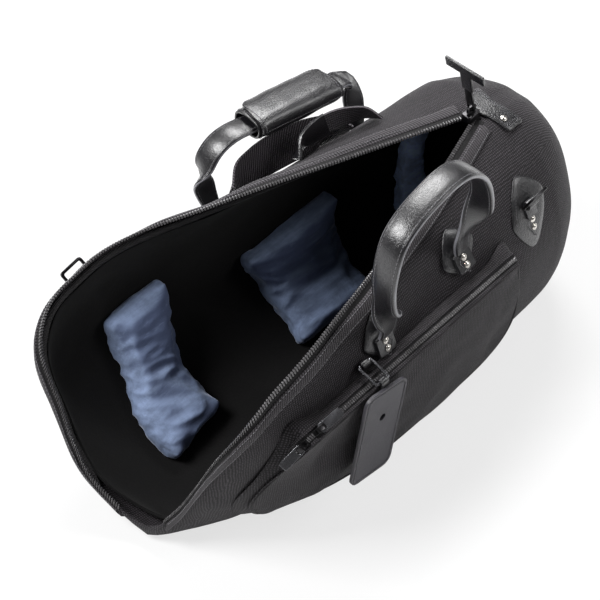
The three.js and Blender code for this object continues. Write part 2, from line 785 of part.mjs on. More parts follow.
// Sewn-on end of a handle: the patch, the flat strap end on it and two rivets. Gives the middle of the strap's nose.
function handleEnd(handle, place) {
  const name = handle + "_" + place.word;
  const patch = sewnPatch(place.t, place.u, kite(PATCH_TOP, PATCH_BOTTOM, PATCH_SIDE), SEAT, PATCH_THICKNESS);
  add(name + "_patch", "leather", patch);
  const frame = bagFrame(place.t, place.u);
  const lift = 2 * SEAT + PATCH_THICKNESS;
  const thickness = HANDLE_THICKNESS / 2;
  const end = extruded(roundedBox(0.8 * HANDLE_WIDTH, HANDLE_END_LENGTH, thickness), thickness);
  seated(name + "_end", "leather", end, movedFrame(frame, 0, -HANDLE_END_LENGTH / 2), lift + SEAT + thickness / 2);
  const rivetLift = lift + 2 * SEAT + thickness;
  [-1, 1].forEach((k, i) => {
    const at = movedFrame(frame, 0, (k * RIVET_SPACING - HANDLE_END_LENGTH) / 2);
    seated(name + "_rivet_" + (i + 1), "nickel", rivetHead(RIVET_RADIUS, RIVET_HEIGHT), at, rivetLift);
  });
  const nose = frame.point.clone().addScaledVector(frame.out, lift + HANDLE_NOSE_LIFT + HANDLE_THICKNESS / 2);
  return nose.addScaledVector(frame.up, HANDLE_THICKNESS / 2 + HANDLE_NOSE_CLEARANCE);
}

// Free strap of a handle between the noses on its two ends, standing up and leaning out.
function handleStrap(name, handle, side) {
  const noses = handle.places.map((place) => handleEnd(name, place));
  const axis = noses[1].clone().sub(noses[0]);
  const lean = new THREE.Vector3(0, side * handle.lean, 0);
  const rise = new THREE.Vector3(0, 0, handle.rise);
  const points = handle.shares.map(([along, out, high]) =>
    noses[0].clone().addScaledVector(axis, along).addScaledVector(lean, out).addScaledVector(rise, high)
  );
  const frames = handle.places.map((place) => bagFrame(place.t, place.u));
  const leaving = noses.map((nose, k) =>
    nose.clone().addScaledVector(frames[k].up, HANDLE_LEAVING).addScaledVector(frames[k].out, HANDLE_LEAVING_OUT)
  );
  const route = smoothRoute([noses[0], leaving[0], ...points, leaving[1], noses[1]], 36);
  const acrossAt = (share) => {
    const turned = smoothShare((Math.min(share, 1 - share) - HANDLE_TWIST_START_SHARE) / HANDLE_TWIST_SHARE);
    const level = new THREE.Vector3(0, side, 0);
    return axis.clone().normalize().multiplyScalar(1 - turned).addScaledVector(level, turned);
  };
  add(name, "leather", strap(route, acrossAt, HANDLE_WIDTH, HANDLE_THICKNESS, true));
  return { noses, points };
}

handleStrap("front_handle", FRONT_HANDLE, FRONT.side);
const backHandle = handleStrap("back_handle", BACK_HANDLE, BACK.side);

// Wrap and flap on the straight grip of the back handle.
{
  const start = backHandle.points[BACK_HANDLE.gripStart];
  const end = backHandle.points[BACK_HANDLE.gripEnd];
  const ahead = end.clone().sub(start).normalize();
  const across = new THREE.Vector3(0, 1, 0);
  across.addScaledVector(ahead, -across.dot(ahead)).normalize();
  const over = ahead.clone().cross(across);
  const middle = start.clone().lerp(end, 0.5);
  const length = start.distanceTo(end) - 2 * GRIP_END_INSET;
  const bore = roundedBox(HANDLE_WIDTH + 2 * GRIP_CLEARANCE, HANDLE_THICKNESS + 2 * GRIP_CLEARANCE, GRIP_CLEARANCE);
  const wrap = extruded(roundedBox(GRIP_WIDTH, GRIP_THICKNESS, GRIP_THICKNESS / 3), length, [bore]);
  placed("grip_wrap", "leather", wrap, middle, across, over);
  const flap = extruded(roundedBox(FLAP_WIDTH, length, FLAP_CORNER_RADIUS, 5), FLAP_THICKNESS);
  const sign = over.z > 0 ? 1 : -1;
  const lifted = middle.clone().addScaledVector(over, sign * (GRIP_THICKNESS / 2 + SEAT + FLAP_THICKNESS / 2));
  placed("grip_flap", "leather", flap, lifted, across, ahead);
}

// Folded loop: its profile lies in local X (along the tail) and Y (off the face), with the bore at the origin.
function foldedLoop(width, outerRadius, boreRadius, tail, tailThickness) {
  const outline = [new THREE.Vector2(-tail, -outerRadius)];
  const steps = 12;
  const end = Math.PI + Math.asin((outerRadius - tailThickness) / outerRadius);
  for (let i = 0; i <= steps; i += 1) {
    const angle = -Math.PI / 2 + ((end + Math.PI / 2) * i) / steps;
    outline.push(new THREE.Vector2(outerRadius * Math.cos(angle), outerRadius * Math.sin(angle)));
  }
  outline.push(new THREE.Vector2(-tail, tailThickness - outerRadius));
  return extruded(outline, width, [circle(boreRadius)]);
}

// Ring of square wire: the bar that turns in the loop is at the origin, the rest reaches along local Y.
function wireRing(width, height, wire) {
  const hole = roundedBox(width - 2 * wire, height - 2 * wire, wire / 2, 2);
  return extruded(roundedBox(width, height, wire, 2), wire, [hole]).translate(0, (height - wire) / 2, 0);
}

for (const hanger of HANGERS) {
  const name = "ring_hanger_" + hanger.word;
  const kiteAt = kite(HANGER_TOP, HANGER_BOTTOM, HANGER_SIDE);
  add(name + "_patch", "leather", sewnPatch(hanger.t, hanger.u, kiteAt, HANGER_SEAT, PATCH_THICKNESS));
  const frame = bagFrame(hanger.t, hanger.u);
  const sideways = frame.up.clone().cross(frame.out);
  const lift = HANGER_SEAT + SEAT + PATCH_THICKNESS;
  const bore = movedFrame(frame, 0, LOOP_UP).point.addScaledVector(frame.out, lift + SEAT + LOOP_OUTER_RADIUS);
  const loop = foldedLoop(LOOP_WIDTH, LOOP_OUTER_RADIUS, LOOP_BORE_RADIUS, LOOP_TAIL, LOOP_TAIL_THICKNESS);
  placed(name + "_loop", "leather", loop, bore, frame.up, frame.out);
  const reach = frame.up.clone().multiplyScalar(Math.cos(hanger.swing));
  reach.addScaledVector(frame.out, Math.sin(hanger.swing));
  placed(name + "_ring", "gunmetal", wireRing(RING_WIDTH, RING_HEIGHT, RING_WIRE), bore, sideways, reach);
  for (let k = 0; k < hanger.rivets; k += 1) {
    const below = (LOOP_TAIL + RIVET_RADIUS + k * RIVET_SPACING - LOOP_UP) / frame.climb;
    const at = bagFrame(hanger.t, hanger.u - Math.sign(hanger.u) * below);
    seated(name + "_rivet_" + (k + 1), "nickel", rivetHead(RIVET_RADIUS, RIVET_HEIGHT), at, lift + SEAT);
  }
}

// Main slider in the end of the mouth.
const X = new THREE.Vector3(1, 0, 0);
const Y = new THREE.Vector3(0, 1, 0);
const Z = new THREE.Vector3(0, 0, 1);
{
  const middle = new THREE.Vector3(MOUTH_LENGTH - GAP - SLIDER_LENGTH / 2, 0, MOUTH_HEIGHT + (COIL_THICKNESS - TAPE_THICKNESS) / 2 + SEAT + SLIDER_HEIGHT / 2);
  const body = extruded(roundedBox(SLIDER_LENGTH, SLIDER_WIDTH, SLIDER_WIDTH / 4), SLIDER_HEIGHT);
  placed("main_slider", "gunmetal", body, middle, X, Y);
  const window = roundedBox(BAIL_LENGTH - 2 * BAIL_WIRE, BAIL_HEIGHT - 2 * BAIL_WIRE, BAIL_WIRE / 2, 2);
  const bail = extruded(roundedBox(BAIL_LENGTH, BAIL_HEIGHT, BAIL_WIRE, 2), BAIL_WIDTH, [window]);
  const pivot = middle.clone().addScaledVector(Z, (SLIDER_HEIGHT + BAIL_HEIGHT) / 2 + SEAT);
  placed("main_slider_bail", "gunmetal", bail, pivot, X, Z);
  const slot = roundedBox(TAB_SLOT_WIDTH, TAB_SLOT_HEIGHT, TAB_SLOT_WIDTH / 4, 2);
  slot.forEach((point) => (point.y += (TAB_SLOT_HEIGHT + TAB_BAR - TAB_LENGTH) / 2 + TAB_BAR / 2));
  const outline = roundedBox(TAB_WIDTH, TAB_LENGTH, TAB_WIDTH / 4);
  const tab = extruded(outline, TAB_THICKNESS, [slot]).translate(0, (TAB_LENGTH - TAB_BAR) / 2, 0);
  const reach = Z.clone().applyAxisAngle(Y, TAB_LEAN);
  placed("main_pull_tab", "gunmetal", tab, pivot, Y, reach);
  const nose = PULL_THICKNESS / 2;
  const hinge = pivot.clone().addScaledVector(reach, TAB_LENGTH - TAB_BAR / 2 + PULL_CLEARANCE + nose);
  const half = PULL_WIDTH / 2;
  const bar = PULL_BAR_LENGTH / 2;
  const pull = [
    [-half, -nose],
    [half, -nose],
    [half, PULL_LENGTH],
    [bar, PULL_LENGTH],
    [bar, PULL_LENGTH + PULL_BAR_HEIGHT],
    [-bar, PULL_LENGTH + PULL_BAR_HEIGHT],
    [-bar, PULL_LENGTH],
    [-half, PULL_LENGTH],
  ].map(([x, y]) => new THREE.Vector2(x, y));
  placed("main_pull_leather", "leather", extruded(pull, PULL_THICKNESS), hinge, Y, reach);
}

// Leather tab over the crown, behind the slider.
{
  const rows = 4;
  const columns = 9;
  const at = (i, j, lift) => {
    const share = 1 - (2 * j) / (columns - 1);
    const u = share >= 0 ? 1 - share * END_TAB.back : -1 - share * END_TAB.front;
    return lifted(END_TAB.from + ((END_TAB.to - END_TAB.from) * i) / (rows - 1), u, lift);
  };
  const tab = gridBody(rows, columns, (i, j) => at(i, j, SEAT + PATCH_THICKNESS), (i, j) => at(i, j, SEAT));
  add("end_tab", "leather", tab);
  const frame = bagFrame(END_TAB.rivetT, END_TAB.rivetU);
  seated("end_tab_rivet", "nickel", rivetHead(RIVET_RADIUS, RIVET_HEIGHT), frame, 3 * SEAT + PATCH_THICKNESS);
}

// Luggage tag: a fixed loop beside the handle end, a ring, and the tag with its own strap.
{
  const frame = bagFrame(TAG_PLACE.t, TAG_PLACE.u);
  const bore = frame.point.clone().addScaledVector(frame.out, 2 * SEAT + TAG_LOOP_RADIUS);
  const loopSize = [TAG_LOOP_WIDTH, TAG_LOOP_RADIUS, TAG_BORE_RADIUS];
  const loop = foldedLoop(...loopSize, 2 * TAG_LOOP_RADIUS, TAG_STRAP_THICKNESS);
  placed("tag_loop", "leather", loop, bore, frame.up, frame.out);
  const reach = new THREE.Vector3(0, -Math.cos(TAG_RING_DROP), -Math.sin(TAG_RING_DROP));
  placed("tag_ring", "nickel", wireRing(TAG_RING_WIDTH, TAG_RING_HEIGHT, TAG_RING_WIRE), bore, X, reach);
  const pivot = bore.clone().addScaledVector(reach, TAG_RING_HEIGHT - TAG_RING_WIRE);
  const hang = new THREE.Vector3(0, -Math.sin(TAG_LEAN), -Math.cos(TAG_LEAN));
  const back = X.clone().cross(hang);
  const strapEnd = foldedLoop(...loopSize, TAG_STRAP_TAIL, TAG_STRAP_THICKNESS);
  placed("tag_strap", "leather", strapEnd, pivot, hang.clone().negate(), back);
  const slot = circle(TAG_SLOT_RADIUS);
  slot.forEach((point) => (point.y += TAG_HEIGHT / 2 - TAG_SLOT_DROP));
  const tag = extruded(roundedBox(TAG_WIDTH, TAG_HEIGHT, TAG_CORNER_RADIUS, 4), TAG_THICKNESS, [slot]);
  const face = pivot.clone().addScaledVector(back, -TAG_LOOP_RADIUS - SEAT - TAG_THICKNESS / 2);
  const turned = hang.clone().negate().applyAxisAngle(back, TAG_TURN);
  face.addScaledVector(hang, TAG_LOOP_RADIUS + SEAT).addScaledVector(turned, -TAG_HEIGHT / 2);
  placed("luggage_tag", "leather", tag, face, turned.clone().cross(back).negate(), turned);
}

// Place on the front wall with a given x and z: its height by halving, its station by small corrections.
function frontWallAt(x, z, lift) {
  let t = x / MOUTH_LENGTH;
  let u = 0;
  for (let i = 0; i < 40; i += 1) {
    let low = 0;
    let high = 1;
    for (let k = 0; k < 16; k += 1) {
      u = -(low + high) / 2;
      if (bagPoint(t, u).z < z) low = -u;
      else high = -u;
    }
    const move = (WALL_STEP_SHARE * (x - bagPoint(t, u).x)) / MOUTH_LENGTH;
    t = Math.min(Math.max(t + move, STEP_SHARE), 1 - STEP_SHARE);
  }
  return lifted(t, u, lift);
}

// Front pocket: outer face of its panel, with rows rising and columns running to the bell end.
const pocketRows = POCKET_LEVEL_SHARES.length;
const pocketColumns = POCKET_ACROSS_SHARES.length;
function pocketPoint(i, j) {
  const high = POCKET_LEVEL_SHARES[i];
  const along = POCKET_ACROSS_SHARES[j];
  const ends = POCKET_LEFT_SHARES[i] + (POCKET_RIGHT_SHARES[i] - POCKET_LEFT_SHARES[i]) * along;
  const bulge = POCKET_BULGE * Math.sin(Math.PI * along) * Math.sin(Math.PI * high);
  const leftDrop = POCKET_LEFT_DROP * POCKET_LEFT_DROP_SHARES[i] * (1 - along) ** 4;
  const baseDrop = POCKET_BASE_DROP * (1 - high) ** 4;
  const y = leftDrop + baseDrop - POCKET_FACE - bulge;
  return new THREE.Vector3(POCKET_LEFT + POCKET_LENGTH * ends, y, POCKET_LOW + (POCKET_HEIGHT + POCKET_RISE * along) * high);
}

// Edge of the pocket in order: along the base, up the bell end, back along the zip and down the narrow end.
const pocketEdge = [];
for (let j = 0; j < pocketColumns - 1; j += 1) pocketEdge.push([0, j]);
for (let i = 0; i < pocketRows - 1; i += 1) pocketEdge.push([i, pocketColumns - 1]);
for (let j = pocketColumns - 1; j > 0; j -= 1) pocketEdge.push([pocketRows - 1, j]);
for (let i = pocketRows - 1; i > 0; i -= 1) pocketEdge.push([i, 0]);

function edgeFrame(k) {
  const n = pocketEdge.length;
  const [before, here, after] = [-1, 0, 1].map((step) => pocketPoint(...pocketEdge[(k + step + n) % n]));
  const into = here.clone().sub(before);
  const onward = after.clone().sub(here);
  const outward = [into, onward].map((v) => new THREE.Vector3(v.z, 0, -v.x).normalize());
  const mitre = outward[0].clone().add(outward[1]);
  return { point: here, along: into.add(onward).normalize(), outward: mitre.multiplyScalar(2 / mitre.lengthSq()) };
}

{
  const back = new THREE.Vector3(0, 1, 0);
  const panel = gridBody(
    pocketRows,
    pocketColumns,
    pocketPoint,
    (i, j) => pocketPoint(i, j).addScaledVector(back, POCKET_FABRIC)
  );
  add("pocket_panel", "nylon", panel);
  const gusset = (inset) => (i, k) => {
    const { point, outward } = edgeFrame(k);
    const flare = outward.clone().normalize();
    if (i === 0) {
      const reach = flare.z > 0.9 ? POCKET_TOP_FLARE : POCKET_FLARE;
      const seam = point.clone().addScaledVector(flare, reach - inset);
      return frontWallAt(seam.x, seam.z, POCKET_SEAM_LIFT);
    }
    const edge = point.clone().addScaledVector(outward, -inset).addScaledVector(back, POCKET_FABRIC + POCKET_PANEL_SEAT);
    if (i === 2) return edge;
    const room = gusset(0)(0, k).y - point.y;
    if (room < POCKET_NEAR_SHARE * POCKET_BAND) return edge.lerp(gusset(inset)(0, k), 0.5);
    const tilt = outward.clone().multiplyScalar(Math.sin(POCKET_BAND_TILT));
    return edge.addScaledVector(back.clone().multiplyScalar(Math.cos(POCKET_BAND_TILT)).add(tilt), POCKET_BAND);
  };
  add("pocket_gusset", "nylon", gridBody(3, pocketEdge.length, gusset(0), gusset(POCKET_FABRIC), true));
}

// Zip of the pocket along the top of the gusset and a little way down its narrow end.
{
  const first = pocketColumns + pocketRows - 2;
  const count = pocketColumns + 1;
  const back = new THREE.Vector3(0, 1, 0);
  const zipAt = (lift) => (i, k) => {
    const { point, along, outward } = edgeFrame(first + k);
    const tilt = outward.clone().multiplyScalar(Math.sin(POCKET_BAND_TILT));
    const inward = back.clone().multiplyScalar(Math.cos(POCKET_BAND_TILT)).add(tilt);
    const out = inward.clone().cross(along).normalize();
    point.addScaledVector(back, POCKET_FABRIC + POCKET_PANEL_SEAT).addScaledVector(inward, POCKET_ZIP_INSET + i * POCKET_ZIP_WIDTH);
    return point.addScaledVector(out, lift);
  };
  add("pocket_zip", "coil", gridBody(2, count, zipAt(POCKET_ZIP_SEAT), zipAt(POCKET_ZIP_SEAT + POCKET_ZIP_THICKNESS)));

  // Two sliders, each a slim body whose bail holds a swinging tab: one at the narrow end of the top, one on the end.
  const places = [
    { k: first + pocketColumns - 1, name: "pocket_slider_top", way: -1, share: 0.35 },
    { k: first + pocketColumns - 1, name: "pocket_slider_end", way: 1, share: 0.35 },
  ];
  for (const { k, name, way, share } of places) {
    const corner = edgeFrame(k).point;
    const next = edgeFrame(k + way).point;
    const along = next.clone().sub(corner).normalize();
    const side = new THREE.Vector3(along.z, 0, -along.x).multiplyScalar(way);
    const tilt = side.clone().multiplyScalar(Math.sin(POCKET_BAND_TILT));
    const inward = back.clone().multiplyScalar(Math.cos(POCKET_BAND_TILT)).add(tilt);
    inward.addScaledVector(along, -inward.dot(along)).normalize();
    const out = along.clone().cross(inward).multiplyScalar(-way);
    const seat = POCKET_ZIP_SEAT + POCKET_ZIP_THICKNESS + POCKET_SLIDER_SEAT;
    const origin = corner.clone().addScaledVector(back, POCKET_FABRIC + POCKET_PANEL_SEAT);
    origin.addScaledVector(along, share * POCKET_TAB_LENGTH);
    origin.addScaledVector(inward, POCKET_ZIP_INSET + POCKET_ZIP_WIDTH / 2).addScaledVector(out, seat);
    const body = POCKET_SLIDER_LENGTH / 2;
    const bail = POCKET_BAIL_LENGTH / 2;
    const top = POCKET_SLIDER_HEIGHT + POCKET_BAIL_HEIGHT;
    const outline = [
      [-body, 0],
      [body, 0],
      [body, POCKET_SLIDER_HEIGHT],
      [bail, POCKET_SLIDER_HEIGHT],
      [bail, top - POCKET_BAIL_WIRE],
      [bail - POCKET_BAIL_WIRE, top],
      [POCKET_BAIL_WIRE - bail, top],
      [-bail, top - POCKET_BAIL_WIRE],
      [-bail, POCKET_SLIDER_HEIGHT],
      [-body, POCKET_SLIDER_HEIGHT],
    ].map(([x, y]) => new THREE.Vector2(x, y));
    const opening = [POCKET_BAIL_LENGTH, POCKET_BAIL_HEIGHT].map((size) => size - 2 * POCKET_BAIL_WIRE);
    const window = roundedBox(...opening, POCKET_BAIL_WIRE / 4, 2);
    const eye = POCKET_SLIDER_HEIGHT + POCKET_BAIL_HEIGHT / 2;
    window.forEach((point) => (point.y += eye));
    placed(name, "gunmetal", extruded(outline, POCKET_SLIDER_WIDTH, [window]), origin, along, out);
    const slot = roundedBox(POCKET_TAB_WIDTH - 2 * POCKET_TAB_BAR, POCKET_TAB_WIDTH / 2, POCKET_TAB_BAR / 2, 2);
    slot.forEach((point) => (point.y += POCKET_TAB_BAR / 2 + POCKET_TAB_WIDTH / 4));
    const plate = roundedBox(POCKET_TAB_WIDTH, POCKET_TAB_LENGTH, POCKET_TAB_WIDTH / 4);
    plate.forEach((point) => (point.y += (POCKET_TAB_LENGTH - POCKET_TAB_BAR) / 2));
    const tab = extruded(plate, POCKET_TAB_THICKNESS, [slot]);
    const reach = along.clone().multiplyScalar(Math.cos(POCKET_TAB_LIFT)).addScaledVector(out, Math.sin(POCKET_TAB_LIFT));
    const pivot = origin.clone().addScaledVector(out, eye);
    placed(name + "_tab", "gunmetal", tab, pivot, along.clone().cross(out), reach);
  }
}

// Value between the four corners of the wall's grid that lie round a place given in rows and columns.
function betweenCorners(row, column, valueAt) {
  const [i, j] = [Math.floor(row), Math.floor(column)];
  const value = new THREE.Vector3();
  for (const [k, rowShare] of [[i, i + 1 - row], [i + 1, row - i]]) {
    for (const [m, columnShare] of [[j, j + 1 - column], [j + 1, column - j]]) {
      if (rowShare * columnShare > 0) value.addScaledVector(valueAt(vertexAt[k][m]), rowShare * columnShare);
    }
  }
  return value;
}

// Blocks that hold the instrument: padded bands across the floor and up the walls. A station is a column, a first row
// and a last row.
for (const { name, height, spans, stations } of BLOCKS) {
  const last = stations.length - 1;
  const place = (i, j) => [stations[j][1] + ((stations[j][2] - stations[j][1]) * i) / spans, stations[j][0]];
  const outer = (i, j) => betweenCorners(...place(i, j), (corner) => vertexIn(corner, WALL + BLOCK_SEAT));
  const inner = (i, j) => {
    const inward = new THREE.Vector3();
    for (let k = j - 2; k <= j + 2; k += 1) {
      inward.sub(betweenCorners(...place(i, Math.min(Math.max(k, 0), last)), (corner) => normals[corner]));
    }
    const edge = i === 0 || j === 0 || i === spans || j === last;
    return outer(i, j).addScaledVector(inward.normalize(), height * (edge ? BLOCK_EDGE_SHARE : 1));
  };
  add(name, "velour", gridBody(spans + 1, last + 1, outer, inner));
}

// Webbing straps on the back wall. Each is sewn down at its ends and between them stands off and turns its width outwards.
for (const { name, width, from, to, stand } of WEBBING) {
  const rows = 9;
  const arch = (share) => Math.sqrt(Math.sin(Math.PI * Math.min(Math.max(share, 0), 1)));
  const place = (share) => [0, 1].map((k) => from[k] + (to[k] - from[k]) * share);
  const middle = (share) => lifted(...place(share), WEBBING_SEAT + WEBBING_THICKNESS / 2 + stand * arch(share));
  const route = Array.from({ length: rows }, (_, i) => middle(i / (rows - 1)));
  const acrossAt = (share) => {
    const frame = bagFrame(...place(share));
    const turn = WEBBING_TURN * arch(share);
    return frame.up.multiplyScalar(Math.cos(turn)).addScaledVector(frame.out, Math.sin(turn));
  };
  add(name, "webbing", strap(route, acrossAt, width, WEBBING_THICKNESS, false));
}

// The origin is the middle of the whole outline, on the ground.
const outline = new THREE.Box3().setFromObject(bag);
const centre = outline.getCenter(new THREE.Vector3());
bag.position.set(-centre.x, -centre.y, -outline.min.z);

export default bag;
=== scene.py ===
import math

import bpy
import numpy as np
from mathutils import Matrix, Vector, noise
from mathutils.bvhtree import BVHTree


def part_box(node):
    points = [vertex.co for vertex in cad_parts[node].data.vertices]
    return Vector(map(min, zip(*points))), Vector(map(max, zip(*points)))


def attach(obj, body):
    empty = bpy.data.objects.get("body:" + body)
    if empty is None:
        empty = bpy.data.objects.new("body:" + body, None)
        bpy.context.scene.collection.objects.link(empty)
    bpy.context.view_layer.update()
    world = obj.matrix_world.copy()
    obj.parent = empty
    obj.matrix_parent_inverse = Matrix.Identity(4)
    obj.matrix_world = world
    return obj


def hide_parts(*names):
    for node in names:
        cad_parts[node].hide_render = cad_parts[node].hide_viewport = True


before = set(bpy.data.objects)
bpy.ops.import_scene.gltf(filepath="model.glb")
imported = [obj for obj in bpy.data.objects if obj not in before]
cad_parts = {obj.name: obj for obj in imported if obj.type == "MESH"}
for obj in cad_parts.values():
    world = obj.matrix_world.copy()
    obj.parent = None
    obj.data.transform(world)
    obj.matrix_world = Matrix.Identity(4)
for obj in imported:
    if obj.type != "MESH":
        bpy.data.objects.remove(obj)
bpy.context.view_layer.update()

bl_info = {
    "name": "Flugelhorn Gig Bag",
    "version": (1, 0, 0),
    "blender": (4, 5, 0),
    "location": "View3D > Sidebar > Gig Bag",
    "description": "Dresses the solids of a soft gig bag for a flugelhorn",
    "category": "Object",
}

MM = 0.001
BAG_MIDDLE = Vector((0.0, 0.0, 0.11))
RIM_STEP = 0.006
STRAP_STEP = 0.004
GRIP_SIDE_POWER = 0.62
GRIP_TOP_POWER = 0.75
CURVE_PARTS = 10
STITCH_RADIUS = 0.35 * MM
STITCH_LENGTH_SHARE = 0.72
BORDER_PITCH = 3.0
GRIP_PITCH = 3.4
STRAP_PITCH = 4.2
WELT_PITCH = 3.6
EDGE_FACING = 0.45
TOOTH_CORNER_SHARE = 0.32
LAYING_REACH = 5.0 * MM
FALLING_SHORT = 14 * MM
PAD_INSET = 1.2 * MM
PAD_PRESSURE = 4.0
PAD_FRAMES = 20
PAD_QUALITY = 5
BEND_HEIGHT = 0.105
BEND_SOFTNESS = 0.012
FLAP_START = math.radians(42)
FLAP_END = math.radians(176)
FLAP_CORNER = 16 * MM
ZIP_TILT = math.radians(25)
FLOOR_SIZE = 8.0
AIM = Vector((0.0, 0.0, 0.1))

# Name, place, size and share of the key power of each lamp.
LIGHTS = (
    ("key_light", (-1.1, 0.8, 1.9), 0.8, 1.0),
    ("fill_light", (1.3, -1.4, 1.7), 1.0, 0.42),
    ("top_light", (0.95, 0.9, 1.75), 0.9, 0.75),
)

# CAD node, visual piece and finish of each block.
BLOCKS = (
    ("narrow_end_block", "narrow_velour_block", "velour"),
    ("middle_block", "middle_velour_block", "velour"),
    # The bell block's velour is a brightened copy, painted light as if the block were lit.
    ("bell_end_block", "bell_velour_block", "painted_light_velour"),
)

# Centre, half length, direction, width and depth of each fold of the cloth, in metres.
SHELL_FOLDS = [
    ((-0.17, -0.105, 0.14), 0.09, (0.45, 0.0, -0.89), 0.012, -0.0035),
    ((-0.205, -0.09, 0.10), 0.08, (0.3, 0.0, -0.95), 0.010, 0.003),
    ((-0.235, -0.06, 0.06), 0.06, (0.2, -0.3, -0.9), 0.009, -0.003),
    ((0.02, -0.12, 0.185), 0.08, (0.95, 0.05, 0.25), 0.012, -0.0025),
    ((0.15, -0.11, 0.10), 0.08, (0.3, 0.2, 0.9), 0.02, -0.003),
    ((0.2, -0.06, 0.2), 0.07, (0.8, 0.5, -0.3), 0.016, 0.0025),
    ((-0.1, 0.12, 0.12), 0.12, (0.9, 0.0, 0.4), 0.016, -0.003),
    ((0.08, 0.1, 0.09), 0.1, (0.7, 0.0, 0.7), 0.015, 0.003),
]
POCKET_FOLDS = [
    ((-0.13, -0.14, 0.07), 0.07, (0.5, 0.0, 0.86), 0.012, 0.004),
    ((-0.06, -0.14, 0.06), 0.07, (0.8, 0.0, 0.6), 0.014, -0.004),
    ((0.03, -0.14, 0.11), 0.08, (0.97, 0.0, -0.2), 0.012, 0.003),
    ((-0.15, -0.14, 0.12), 0.05, (0.3, 0.0, 0.95), 0.010, -0.003),
]

# Middle line of each strap in millimetres, with the direction across it.
FRONT_STRAP = [
    (-56.7, -126.4, 195.7, 0.99, 0.09, 0.1),
    (-56, -128.2, 205.2, 0.99, 0.09, 0.1),
    (-57.4, -130.5, 217, 0.97, 0.07, 0.09),
    (-66.6, -135.6, 237.5, 0.53, -0.42, 0.05),
    (-74.9, -139.4, 262.3, 0.04, -0.95, 0),
    (-80.2, -141.2, 292.7, 0, -1, 0),
    (-77.9, -141.4, 318.6, 0, -1, 0),
    (-68.9, -140.5, 340.1, 0, -1, 0),
    (-49.4, -138.8, 352.2, 0, -1, 0),
    (-24.1, -136.6, 356.9, 0, -1, 0),
    (-0.1, -134.6, 357.4, 0, -1, 0),
    (22.1, -132.7, 350.9, 0, -1, 0),
    (41.4, -131.1, 335.1, 0, -1, 0),
    (55.7, -129.8, 313.3, 0, -1, 0),
    (64.2, -128.8, 285.2, 0.04, -0.95, 0),
    (64.8, -123.8, 256.8, 0.53, -0.42, 0.05),
    (59.6, -116.6, 229.4, 0.97, 0.07, 0.09),
    (59.3, -115.8, 216.4, 0.99, 0.09, 0.1),
    (59.9, -116.4, 207, 0.99, 0.09, 0.1),
]
BACK_STRAP = [
    (-33.6, 123, 160.8, 0.99, -0.12, -0.01),
    (-34.4, 127.5, 171.8, 0.99, -0.12, -0.01),
    (-34.7, 131.9, 183.2, 0.97, -0.1, -0.01),
    (-33.6, 135.6, 195.1, 0.53, 0.4, -0.01),
    (-28.1, 136.2, 209.1, 0.04, 0.95, 0),
    (-20.3, 135.4, 219.6, 0, 1, 0),
    (-11.1, 134.2, 226.2, 0, 1, 0),
    (-1.3, 132.8, 229.4, 0, 1, 0),
    (9, 131.8, 229.8, 0, 1, 0),
    (20.8, 131.1, 227.9, 0, 1, 0),
    (60.8, 128.4, 222.8, 0, 1, 0),
    (103.1, 125.6, 217.4, 0, 1, 0),
    (138.8, 123.2, 212.9, 0, 1, 0),
    (146.7, 122.8, 212.4, 0, 1, 0),
    (154.4, 122, 209, 0.04, 0.95, 0),
    (161.2, 120.1, 201.4, 0.53, 0.4, -0.01),
    (157.7, 110, 184.3, 0.97, -0.1, -0.01),
    (154.4, 103.3, 169.5, 0.99, -0.12, -0.01),
    (153.8, 100.7, 158.1, 0.99, -0.12, -0.01),
]
LOW_WEBBING = [
    (-28.5, 102, 190.4, -0.26, -0.49, 0.83),
    (-8.5, 110.1, 196.1, -0.13, 0.01, 0.99),
    (10.8, 111.3, 197.5, -0.07, 0.19, 0.98),
    (30.2, 111, 197.7, -0.04, 0.28, 0.96),
    (49.4, 109.5, 197, -0.03, 0.31, 0.95),
    (68.3, 107, 195.3, -0.02, 0.28, 0.96),
    (86.5, 103.5, 192.4, -0.03, 0.19, 0.98),
    (104.5, 98.3, 188.3, -0.04, 0, 1),
    (122.3, 86, 180.2, -0.08, -0.5, 0.86),
]
HIGH_WEBBING = [
    (44.9, 81.5, 200.1, -0.24, -0.62, 0.74),
    (56.6, 85.8, 210.1, -0.15, -0.18, 0.97),
    (67.3, 84.6, 215.5, -0.11, -0.02, 0.99),
    (77.6, 82.1, 219.6, -0.09, 0.05, 0.99),
    (87.7, 78.5, 222.7, -0.09, 0.06, 0.99),
    (97.8, 73.8, 224.8, -0.11, 0, 0.99),
    (108, 68, 225.8, -0.14, -0.13, 0.98),
    (118.4, 61.2, 225.3, -0.18, -0.34, 0.92),
    (128.7, 50.2, 218.9, -0.25, -0.78, 0.58),
]
